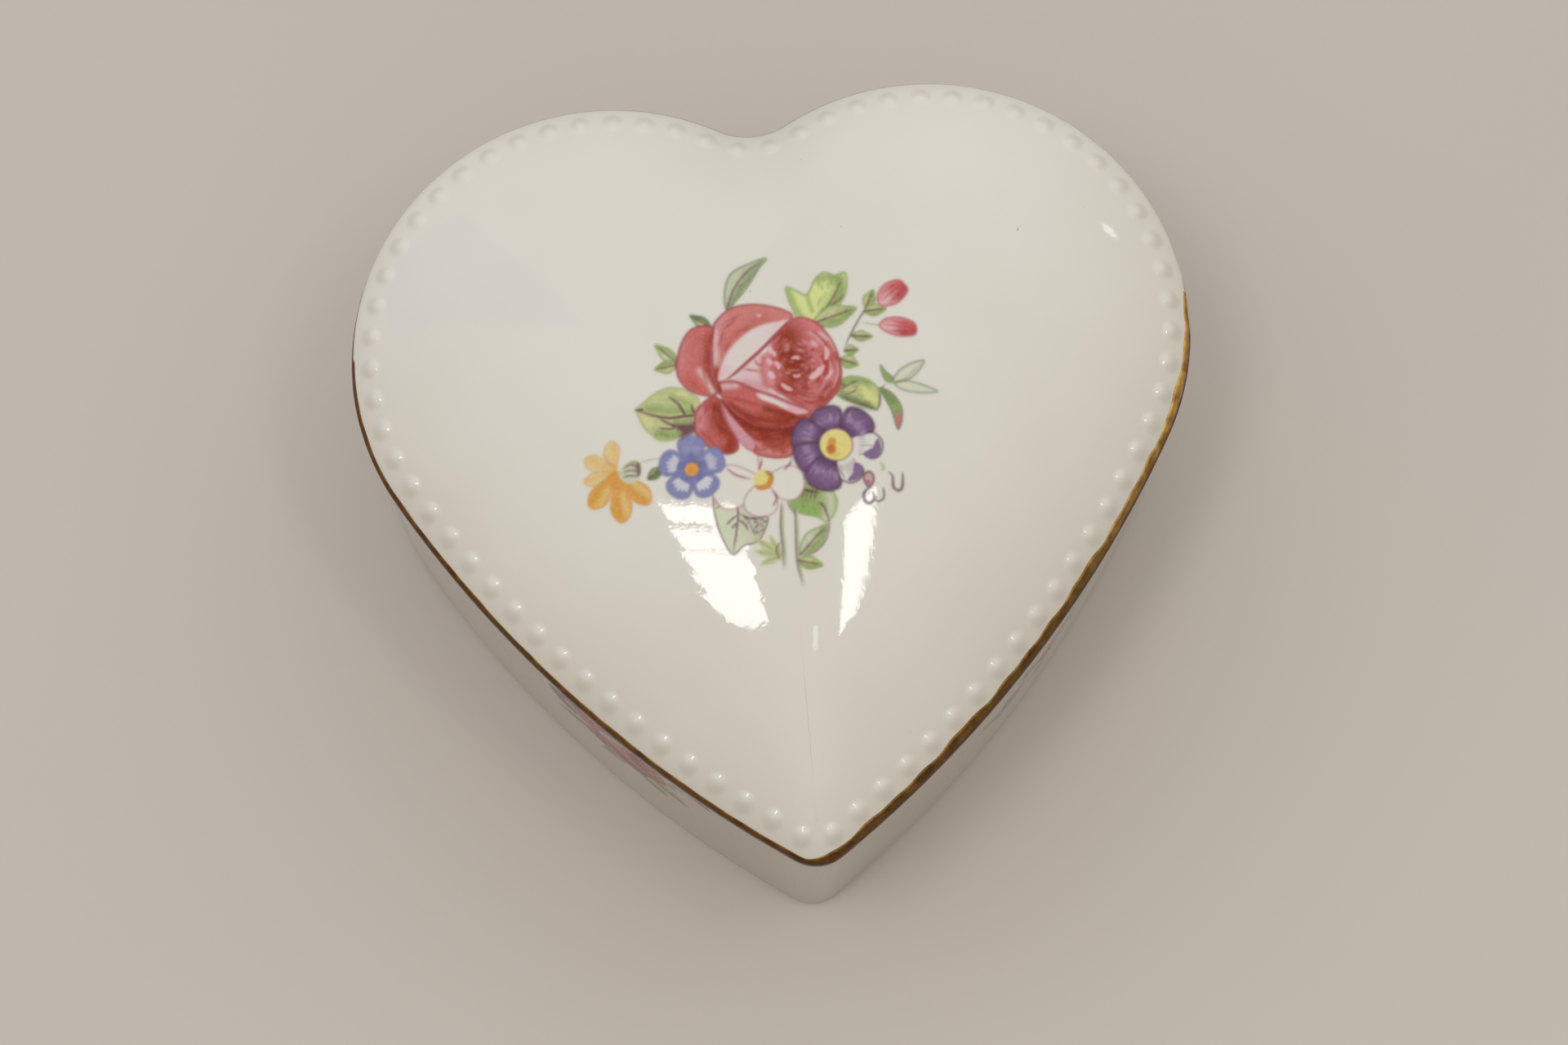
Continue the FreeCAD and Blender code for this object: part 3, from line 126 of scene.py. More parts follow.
# Brushwork: steps from point to point, soft edges, room round a mark, and shares of dashes and breaks
CURVE_STEPS = 6
SHAPE_SOFT, STROKE_SOFT, STROKE_FULL = 0.3, 0.22, 0.09
SHAPE_MARGIN, STROKE_MARGIN, DOT_MARGIN = 0.6, 0.4, 0.5
DASHES, BREAKS, LAST_DASH = (0.16, 0.42), (0.02, 0.12), 0.92

# Firing: how far the enamel runs, and the grain of the print in cells, in tone and in cover
BLUR_CELLS = 4
ENAMEL_RUN = 0.09
GRAIN_CELLS, GRAIN_TONE, GRAIN_COVER = 0.9, 0.3, 0.02

lid_low, lid_high = (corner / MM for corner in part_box("lid"))
_, box_high = (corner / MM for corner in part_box("base_box"))
HALF_WIDTH = round(lid_high.x, 1)
HALF_LENGTH = round(lid_high.y, 1)
BOX_RIM = round(box_high.z, 1)
FLANGE_BOTTOM = round(lid_low.z, 1)
EDGE_TOP = BOX_RIM + LID_EDGE
WALL_SCALE = box_high.x / HALF_WIDTH


def linear(colour):
    """Colours written as 0 to 255, as the shaders take them."""
    part = np.asarray(colour, float) / 255
    return np.where(part <= 0.04045, part / 12.92, ((part + 0.055) / 1.055) ** 2.4)


# Outline

def arc(centre, radius, start, end):
    count = int(abs(end - start) * radius / OUTLINE_STEP) + 2
    angles = np.linspace(start, end, count)
    return centre + radius * np.column_stack([np.cos(angles), np.sin(angles)])


def direction(start, end):
    return math.atan2(end[1] - start[1], end[0] - start[0])


def heart_outline():
    """The right half runs from the notch round the lobe to the tip, and the left half mirrors it."""
    lobe = np.array([HALF_WIDTH - LOBE_RADIUS, HALF_LENGTH - LOBE_RADIUS])
    tip = np.array([0, TIP_RADIUS - HALF_LENGTH])
    rise = math.sqrt((LOBE_RADIUS + NOTCH_RADIUS) ** 2 - lobe[0] ** 2)
    notch = np.array([0, lobe[1] + rise])
    apart = math.dist(lobe, tip)
    to_lobe, to_tip = SIDE_RADIUS - LOBE_RADIUS, SIDE_RADIUS - TIP_RADIUS
    foot = (to_lobe ** 2 - to_tip ** 2 + apart ** 2) / (2 * apart)
    axis = (tip - lobe) / apart
    side = lobe + foot * axis + math.sqrt(to_lobe ** 2 - foot ** 2) * np.array([axis[1], -axis[0]])
    shoulder, hip = direction(side, lobe), direction(side, tip)
    right = np.vstack([
        arc(notch, NOTCH_RADIUS, -math.pi / 2, direction(notch, lobe))[:-1],
        arc(lobe, LOBE_RADIUS, direction(lobe, notch), shoulder)[:-1],
        arc(side, SIDE_RADIUS, shoulder, hip)[:-1],
        arc(tip, TIP_RADIUS, hip, -math.pi / 2),
    ])
    left = right[-2:0:-1] * [-1, 1]
    return np.vstack([right, left])


def closed(points):
    return np.vstack([points, points[:1]])


def run_of(points):
    """The distance along a line of points to each of them."""
    steps = np.linalg.norm(np.diff(points, axis=0), axis=1)
    return np.concatenate([[0], np.cumsum(steps)])


def outward(points):
    """Unit normals of a closed outline that runs clockwise."""
    ahead = np.roll(points, -1, axis=0) - np.roll(points, 1, axis=0)
    normal = np.column_stack([-ahead[:, 1], ahead[:, 0]])
    return normal / np.linalg.norm(normal, axis=1)[:, None]


def at_runs(runs, run, values):
    return np.column_stack([np.interp(runs, run, column) for column in values.T])


OUTLINE = heart_outline()
NORMALS = outward(OUTLINE)
bead_line = closed(OUTLINE - BEAD_INSET * NORMALS)
bead_run = run_of(bead_line)
BEADS = round(bead_run[-1] / BEAD_PITCH)
COLUMNS = BEADS * COLUMNS_PER_BEAD
column_runs = np.arange(COLUMNS) * bead_run[-1] / COLUMNS
EDGE = at_runs(column_runs, bead_run, closed(OUTLINE))
EDGE_OUT = at_runs(column_runs, bead_run, closed(NORMALS))

by_angle = np.argsort(np.arctan2(OUTLINE[:, 1], OUTLINE[:, 0]))
ANGLE_TABLE = np.arctan2(OUTLINE[:, 1], OUTLINE[:, 0])[by_angle]
RADIUS_TABLE = np.hypot(OUTLINE[:, 0], OUTLINE[:, 1])[by_angle]


def heart_scale(x, y):
    """How large the heart through a point is, as a share of the outline."""
    radius = np.interp(np.arctan2(y, x), ANGLE_TABLE, RADIUS_TABLE, period=2 * math.pi)
    return np.hypot(x, y) / radius


# Lid surface

def dome(x, y):
    share = np.minimum(heart_scale(x, y), 1)
    return EDGE_TOP + DOME_HEIGHT * (1 - share ** 2) ** DOME_POWER


def lid_top(x, y):
    """The dome, with its ridge and valley softened by a mean over a disc that widens away from the edge."""
    away = 1 - np.minimum(heart_scale(x, y), 1)
    total = np.zeros_like(x)
    for ring in range(SOFT_RINGS):
        reach = RIDGE_SOFTNESS * away ** RIDGE_SPREAD * math.sqrt((ring + 0.5) / SOFT_RINGS)
        for step in range(SOFT_DIRECTIONS):
            turn = 2 * math.pi * (step + 0.5 * (ring % 2)) / SOFT_DIRECTIONS
            total += dome(x + reach * math.cos(turn), y + reach * math.sin(turn))
    runs = zip((x, y, x + y, x - y), UNEVEN_WAVES)
    first, second, third, fourth = (np.sin(run / length + start) for run, (length, start) in runs)
    uneven = first * second + third * fourth
    return total / (SOFT_RINGS * SOFT_DIRECTIONS) + UNEVEN * uneven * np.minimum(away * UNEVEN_FADE, 1)


def bead_relief(inset):
    """Height of the beads along a ring of columns at an inset from the edge."""
    across = (np.arange(COLUMNS) % COLUMNS_PER_BEAD) / COLUMNS_PER_BEAD - 0.5
    apart = np.hypot(across * bead_run[-1] / BEADS, inset - BEAD_INSET) / BEAD_RADIUS
    return BEAD_HEIGHT * np.maximum(1 - apart ** 2, 0) ** BEAD_POWER


# Grid of heights over the lid's middle
FIELD_LOW = -36.0
FIELD_STEP = 1.0
FIELD_COUNT = 73
field_steps = FIELD_LOW + FIELD_STEP * np.arange(FIELD_COUNT)
FIELD = lid_top(*np.meshgrid(field_steps, field_steps))


def bend_weights(part):
    """Weights of four neighbours on a smooth cubic, for a place between the middle two."""
    far = 1 - part
    inner = [(3 * share ** 3 - 6 * share ** 2 + 4) / 6 for share in (part, far)]
    return [far ** 3 / 6, *inner, part ** 3 / 6]


def smooth_top(x, y):
    """The lid's height in its middle, without the small steps of the softened ridge."""
    column, row = (x - FIELD_LOW) / FIELD_STEP, (y - FIELD_LOW) / FIELD_STEP
    first_column, first_row = np.floor(column).astype(int), np.floor(row).astype(int)
    across, along = bend_weights(column - first_column), bend_weights(row - first_row)
    total = np.zeros_like(x)
    for i in range(4):
        for j in range(4):
            total += along[i] * across[j] * FIELD[first_row - 1 + i, first_column - 1 + j]
    return total


# Meshes

def grid_faces(rows, columns, wrap_rows=False):
    """Quads between rings of equal count, the rings closed on themselves."""
    index = np.arange(rows * columns).reshape(rows, columns)
    if wrap_rows:
        index = np.vstack([index, index[:1]])
    beside = np.roll(index, -1, axis=1)
    quads = np.stack([index[:-1], beside[:-1], beside[1:], index[1:]], axis=-1)
    return quads.reshape(-1, 4).tolist()


def new_piece(name, points, faces, material):
    mesh = bpy.data.meshes.new(name)
    mesh.from_pydata((np.asarray(points) * MM).tolist(), [], faces)
    mesh.materials.append(material)
    mesh.shade_smooth()
    piece = bpy.data.objects.new(name, mesh)
    bpy.context.scene.collection.objects.link(piece)
    return piece


def level(line, height):
    """A ring of points at a height, or at a height for each."""
    return np.column_stack([line, np.broadcast_to(height, len(line))])


def lid_rings():
    """Rings of the lid from the crown outwards, over the edge, round the flange and up into the hollow."""
    band = np.arange(BAND_STEP, BEAD_INSET + 2 * BEAD_RADIUS, BAND_STEP)[::-1]
    inner = EDGE - band[0] * EDGE_OUT
    rings = []
    for share in np.sin(np.linspace(CROWN_START, 1, DOME_RINGS + 1)[:-1] * math.pi / 2):
        line = inner * share
        rings.append(level(line, lid_top(*line.T)))
    for inset in band:
        line = EDGE - inset * EDGE_OUT
        rings.append(level(line, lid_top(*line.T) + bead_relief(inset)))
    low_edge = [(EDGE_LIP, EDGE_TOP), (0, EDGE_TOP - EDGE_BREAK), (0, BOX_RIM + EDGE_ROUND)]
    low_edge += [(EDGE_CORNER, BOX_RIM + EDGE_CORNER), (EDGE_ROUND, BOX_RIM)]
    for inset, height in low_edge:
        rings.append(level(EDGE - inset * EDGE_OUT, height))
    outer, hollow = (1 - inset / HALF_WIDTH for inset in (FLANGE_OUTER, FLANGE_INNER))
    bottom, corner = FLANGE_BOTTOM, FLANGE_BOTTOM + FLANGE_ROUND
    flange = [(outer + ROOT_SHARE, BOX_RIM), (outer, BOX_RIM - FLANGE_ROUND), (outer, corner)]
    flange += [
        (outer - FOOT_SHARE, bottom), (hollow + FOOT_SHARE, bottom), (hollow, corner), (hollow, BOX_RIM),
    ]
    for share, height in flange:
        rings.append(level(EDGE * share, height))
    for share in np.sin(np.linspace(1, ROOF_START, HOLLOW_RINGS)[1:] * math.pi / 2):
        height = BOX_RIM + (DOME_HEIGHT + LID_EDGE - LID_THICK) * (1 - share ** 2) ** DOME_POWER
        rings.append(level(EDGE * hollow * share, height))
    return rings


def make_lid(material):
    rings = lid_rings()
    count = len(rings)
    crown = [0, 0, float(lid_top(np.zeros(1), np.zeros(1))[0])]
    roof = [0, 0, BOX_RIM + DOME_HEIGHT + LID_EDGE - LID_THICK]
    points = np.vstack(rings + [crown, roof])
    faces = grid_faces(count, COLUMNS)
    last = (count - 1) * COLUMNS
    crown_index = count * COLUMNS
    for column in range(COLUMNS):
        beside = (column + 1) % COLUMNS
        faces.append([crown_index, beside, column])
        faces.append([crown_index + 1, last + column, last + beside])
    piece = new_piece("china_lid", points, faces, material)
    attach(piece, "lid")
    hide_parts("lid")


def waves(runs, lengths, seed):
    """A smooth uneven line along the edge, between about -1 and 1."""
    draw = np.random.default_rng(seed)
    total = np.zeros(len(runs))
    for length in lengths:
        turns = round(runs[-1] / length)
        total += np.sin(2 * math.pi * turns * runs / runs[-1] + draw.uniform(0, 6.28))
    return total / len(lengths)


def make_gilt(material):
    """Gold brushed along the lid's edge, wide and uneven on the right, and rubbed off the lobes' top."""
    right, front = np.clip(GILT_SHARE + EDGE_OUT * GILT_FACING, 0, 1).T
    runs = np.linspace(0, bead_run[-1], COLUMNS)
    inner = GILT_LEFT + (GILT_RIGHT - GILT_LEFT) * right * front
    inner = np.maximum(inner + GILT_WAVE * (0.25 + right) * front * waves(runs, GILT_WAVES, 4), GILT_LEAST)
    sunk = GILT_WORN * (1 - front)
    lower = BOX_RIM + GILT_LOW + GILT_LOW_WAVE * waves(runs, GILT_LOW_WAVES, 9)
    skin = []
    for part in GILT_STEPS:
        line = EDGE - (inner * part)[:, None] * EDGE_OUT
        skin.append((line, lid_top(*line.T) + bead_relief(inner * part) - sunk, GILT_LEAN))
    for height in (EDGE_TOP - EDGE_BREAK - 3 * sunk, (EDGE_TOP + lower) / 2, lower):
        skin.append((EDGE, height, 1))
    rings = []
    for side in (1, -1):
        for line, height, out in skin[::side]:
            lift = side * GILT_THICK
            rings.append(level(line + lift * out * EDGE_OUT, height + lift * (1 - out) * 2))
    faces = grid_faces(len(rings), COLUMNS, wrap_rows=True)
    piece = new_piece("gilt_edge", np.vstack(rings), faces, material)
    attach(piece, "lid")


# Drawing of the transfers

# Enamel colours, as 0 to 255
ROSE_MID, ROSE_LIGHT, ROSE_PALE = (186, 99, 95), (203, 141, 144), (214, 186, 184)
ROSE_DARK, ROSE_DEEP, ROSE_LINE = (144, 56, 42), (126, 44, 32), (154, 68, 74)
PAPER = (216, 204, 197)
LEAF_PALE, LEAF_LIGHT, LEAF_MID = (198, 202, 174), (188, 192, 138), (144, 162, 102)
LEAF_DARK, LEAF_LINE, PURPLE = (104, 122, 82), (108, 76, 78), (94, 56, 68)
BLUE_MID, BLUE_DARK, BLUE_PALE = (134, 136, 174), (110, 112, 160), (206, 204, 206)
VIOLET_MID, VIOLET_DARK, VIOLET_PALE = (128, 100, 136), (90, 62, 86), (192, 178, 186)
GOLD_MID, GOLD_LIGHT, GOLD_DARK = (218, 170, 92), (220, 198, 138), (208, 146, 68)
EYE_YELLOW, EYE_ORANGE = (220, 206, 132), (198, 136, 66)


def curve(points, loop=True):
    """A smooth line through points, given as (u, v)."""
    points = np.asarray(points, float)
    if loop:
        ring = np.vstack([points[-1:], points, points[:2]])
    else:
        ring = np.vstack([2 * points[:1] - points[1:2], points, 2 * points[-1:] - points[-2:-1]])
    t = (np.arange(CURVE_STEPS) / CURVE_STEPS)[None, :, None]
    a, b, c, d = (ring[i:len(ring) - 3 + i, None, :] for i in range(4))
    square, cube = a - 2.5 * b + 2 * c - d / 2, 1.5 * (b - c) + (d - a) / 2
    line = (b + (c - a) / 2 * t + square * t ** 2 + cube * t ** 3).reshape(-1, 2)
    return line if loop else np.vstack([line, points[-1:]])


def to_line(u, v, line):
    """Distance from each place to a line of points, and how far along it the nearest place lies."""
    nearest = np.full(u.shape, np.inf)
    share = np.zeros(u.shape)
    for i in range(len(line) - 1):
        start, side = line[i], line[i + 1] - line[i]
        along = ((u - start[0]) * side[0] + (v - start[1]) * side[1]) / max(side @ side, 1e-9)
        along = np.clip(along, 0, 1)
        apart = np.hypot(u - start[0] - along * side[0], v - start[1] - along * side[1])
        closer = apart < nearest
        nearest = np.where(closer, apart, nearest)
        share = np.where(closer, (i + along) / (len(line) - 1), share)
    return nearest, share


def depth_in(u, v, outline):
    """Distance into a closed outline, negative outside it."""
    ring = closed(outline)
    within = np.zeros(u.shape, bool)
    for start, end in zip(ring[:-1], ring[1:]):
        crosses = (start[1] > v) != (end[1] > v)
        rise = end[1] - start[1] if end[1] != start[1] else 1e-9
        within ^= crosses & (u < start[0] + (v - start[1]) * (end[0] - start[0]) / rise)
    nearest, _ = to_line(u, v, ring)
    return np.where(within, nearest, -nearest)


class Canvas:
    """A flat sheet of enamel: colours and how far they cover, u to the right and v up in millimetres."""

    def __init__(self, low, high, pitch):
        self.low = np.array(low)
        self.pitch = pitch
        self.u, self.v = np.meshgrid(np.arange(low[0], high[0], pitch), np.arange(low[1], high[1], pitch))
        self.paint = np.zeros(self.u.shape + (3,))
        self.cover = np.zeros(self.u.shape)

    def near(self, points, margin):
        """The rows and columns round some points."""
        first = np.maximum((points.min(axis=0) - margin - self.low) / self.pitch, 0).astype(int)
        last = np.maximum((points.max(axis=0) + margin - self.low) / self.pitch + 2, 0).astype(int)
        return slice(first[1], last[1]), slice(first[0], last[0])

    def lay(self, part, colour, cover):
        """Paint over what is there, in a part of the sheet."""
        below = self.cover[part] * (1 - cover)
        total = cover + below
        mixed = np.asarray(colour) * cover[..., None] + self.paint[part] * below[..., None]
        self.paint[part] = mixed / np.maximum(total, 1e-6)[..., None]
        self.cover[part] = total

    def fill(self, points, colour, washes=(), rim=None, strength=1.0, soft=SHAPE_SOFT):
        """A smooth closed shape; each wash is (line, width, colour, strength) and stays inside it."""
        outline = curve(points)
        part = self.near(outline, SHAPE_MARGIN)
        u, v = self.u[part], self.v[part]
        depth = depth_in(u, v, outline)
        mask = np.clip(0.5 + depth / soft, 0, 1) * strength
        self.lay(part, colour, mask)
        for line, width, tone, force in washes:
            apart, _ = to_line(u, v, curve(line, loop=False))
            self.lay(part, tone, mask * force * np.exp(-(apart / width) ** 2))
        if rim:
            tone, width, force = rim
            self.lay(part, tone, force * np.exp(-(depth / width) ** 2))

    def wipe(self, points):
        """Leaves the china bare inside a smooth closed shape."""
        outline = curve(points)
        part = self.near(outline, SHAPE_MARGIN)
        depth = depth_in(self.u[part], self.v[part], outline)
        self.cover[part] *= 1 - np.clip(0.5 + depth / SHAPE_SOFT, 0, 1)

    def stroke(self, points, width, colour, strength=1.0, taper=(0.3, 0.3)):
        """A brush line, thinner towards its ends by the shares given."""
        line = curve(points, loop=False)
        part = self.near(line, width + STROKE_MARGIN)
        apart, share = to_line(self.u[part], self.v[part], line)
        first = np.clip(share / taper[0], 0, 1) if taper[0] else 1
        last = np.clip((1 - share) / taper[1], 0, 1) if taper[1] else 1
        half = width / 2 * np.sqrt(np.minimum(first, last))
        body = np.clip(0.5 + (half - apart) / STROKE_SOFT, 0, 1)
        self.lay(part, colour, strength * body * np.minimum(half / STROKE_FULL, 1))

    def strokes(self, lines, width, colour, strength):
        """The same brush along each of some lines."""
        for points in lines:
            self.stroke(points, width, colour, strength)

    def dot(self, place, radius, colour, strength=1.0):
        part = self.near(np.array([place]), radius + DOT_MARGIN)
        apart = np.hypot(self.u[part] - place[0], self.v[part] - place[1])
        self.lay(part, colour, strength * np.clip(0.5 + (radius - apart) / SHAPE_SOFT, 0, 1))


def placer(centre, angle, scale=1.0, stretch=(1, 1)):
    """A function that stretches, turns and scales points drawn round (0, 0) and moves them to a centre."""
    c, s = scale * math.cos(angle), scale * math.sin(angle)
    turn = np.array([[c, s], [-s, c]])
    return lambda points: np.asarray(points, float) * stretch @ turn + centre


def hatch(canvas, first, last, count, tones, seed, width, strength):
    """Broken brush lines passing from one guide line to another, in tones drawn by lot."""
    draw = np.random.default_rng(seed)
    first, last = curve(first, loop=False), curve(last, loop=False)
    for share in np.linspace(0, 1, count):
        line = (1 - share) * first + share * last
        begin = draw.uniform(0, 0.2)
        while begin < LAST_DASH:
            end = min(begin + draw.uniform(*DASHES), 1)
            marks = line[int(begin * len(line)):int(end * len(line)) + 1:3]
            if len(marks) > 1:
                tone = tones[draw.integers(len(tones))]
                brush = width * draw.uniform(0.7, 1.4)
                canvas.stroke(marks, brush, tone, strength * draw.uniform(0.5, 1), (0.4, 0.4))
            begin = end + draw.uniform(*BREAKS)


def soften(sheet, reach):
    """A blur over a few cells each way."""
    steps = range(-BLUR_CELLS, BLUR_CELLS + 1)
    weights = np.exp(-(np.array(steps) / reach) ** 2 / 2)
    weights /= weights.sum()
    for axis in (0, 1):
        sheet = sum(weight * np.roll(sheet, step, axis=axis) for weight, step in zip(weights, steps))
    return sheet


def fire(canvas, seed):
    """Lets the enamel run a little and gives it the grain of a printed transfer."""
    draw = np.random.default_rng(seed)
    spread = ENAMEL_RUN / canvas.pitch
    total = soften(canvas.cover, spread)
    loaded = soften(canvas.paint * canvas.cover[..., None], spread)
    grain = soften(draw.normal(size=total.shape), GRAIN_CELLS)
    paint = loaded / np.maximum(total, 1e-6)[..., None]
    depth = 1 - paint.mean(axis=-1) / 255
    canvas.paint = paint * (1 + GRAIN_TONE * (grain * depth ** 2)[..., None])
    canvas.cover = np.clip(total * (1 + GRAIN_COVER * grain), 0, 1)


# Lines of a leaf, as shares of its length, of its half width and of its bow
LEAF_OUTLINE = (
    (0, 0, 0), (0.22, 0.72, 0.7), (0.5, 1, 1), (0.8, 0.5, 0.55),
    (1, 0, 0), (0.8, -0.5, 0.6), (0.5, -1, 1), (0.22, -0.75, 0.7),
)
LEAF_RIB = (0, 0, 0), (0.35, 0, 0.9), (0.7, 0, 0.8), (0.97, 0, 0)
LEAF_SHADE = (0.1, -0.45, 0.5), (0.5, -0.6, 1), (0.85, -0.2, 0)
LEAF_TIP = (0.6, 0.2, 0.8), (1, 0, 0)
LEAF_EDGE = (0.2, -0.6, 0.6), (0.55, -0.8, 1), (0.92, -0.1, 0)


def leaf(canvas, base, tip, width, tones=(LEAF_LIGHT, LEAF_MID), bend=0.0, veins=3, line=LEAF_LINE):
    """A pointed leaf with one darker half, a midrib and side veins."""
    length = math.dist(base, tip)
    half = width / 2
    bow = bend * length
    turn = placer(base, direction(base, tip))

    def place(shares):
        along, across, bowed = np.array(shares, float).T
        return turn(np.column_stack([along * length, across * half + bowed * bow]))

    light, dark = tones
    washes = [(place(LEAF_SHADE), 0.42 * half, dark, 0.9), (place(LEAF_TIP), 0.3 * half, dark, 0.45)]
    canvas.fill(place(LEAF_OUTLINE), light, washes, rim=(dark, 0.16, 0.8))
    if width > 2:
        hatch(canvas, place(LEAF_EDGE), place(LEAF_RIB[1:]), 5, (dark, LEAF_DARK), 40, 0.2, 0.35)
    canvas.stroke(place(LEAF_RIB), 0.22, line, 0.75, taper=(0, 0.5))
    for share in 0.25 + 0.5 * np.arange(veins) / max(veins - 1, 1):
        for side in (0.62, -0.62):
            vein = (share, 0, 0.85), (share + 0.17, side, 0.8)
            canvas.stroke(place(vein), 0.14, line, 0.4, taper=(0, 0.8))


ROSE_OUTLINE = [
    (-10.6, 6.6), (-10.1, 9.8), (-8.9, 11.8), (-7.2, 12.3), (-5.9, 12.1), (-5.2, 13.4),
    (-3.4, 14.8), (-0.6, 15.2), (2.6, 14.6), (4, 13.4), (5.6, 13.4), (7.6, 12.4),
    (9.5, 9.8), (10.4, 6.6), (10, 3.8), (8.4, 1.8), (6.9, 0.6), (6.3, -1.2), (5.1, -3.4),
    (4, -4.8), (2.2, -5.1), (0.2, -4.8), (-0.7, -4.1), (-2.6, -4), (-4, -4.6), (-5.4, -4),
    (-6.9, -3.3), (-8.1, -1.6), (-8.1, 0.8), (-7.1, 2.4), (-6, 3), (-7.6, 3.2), (-9.7, 4.4),
]


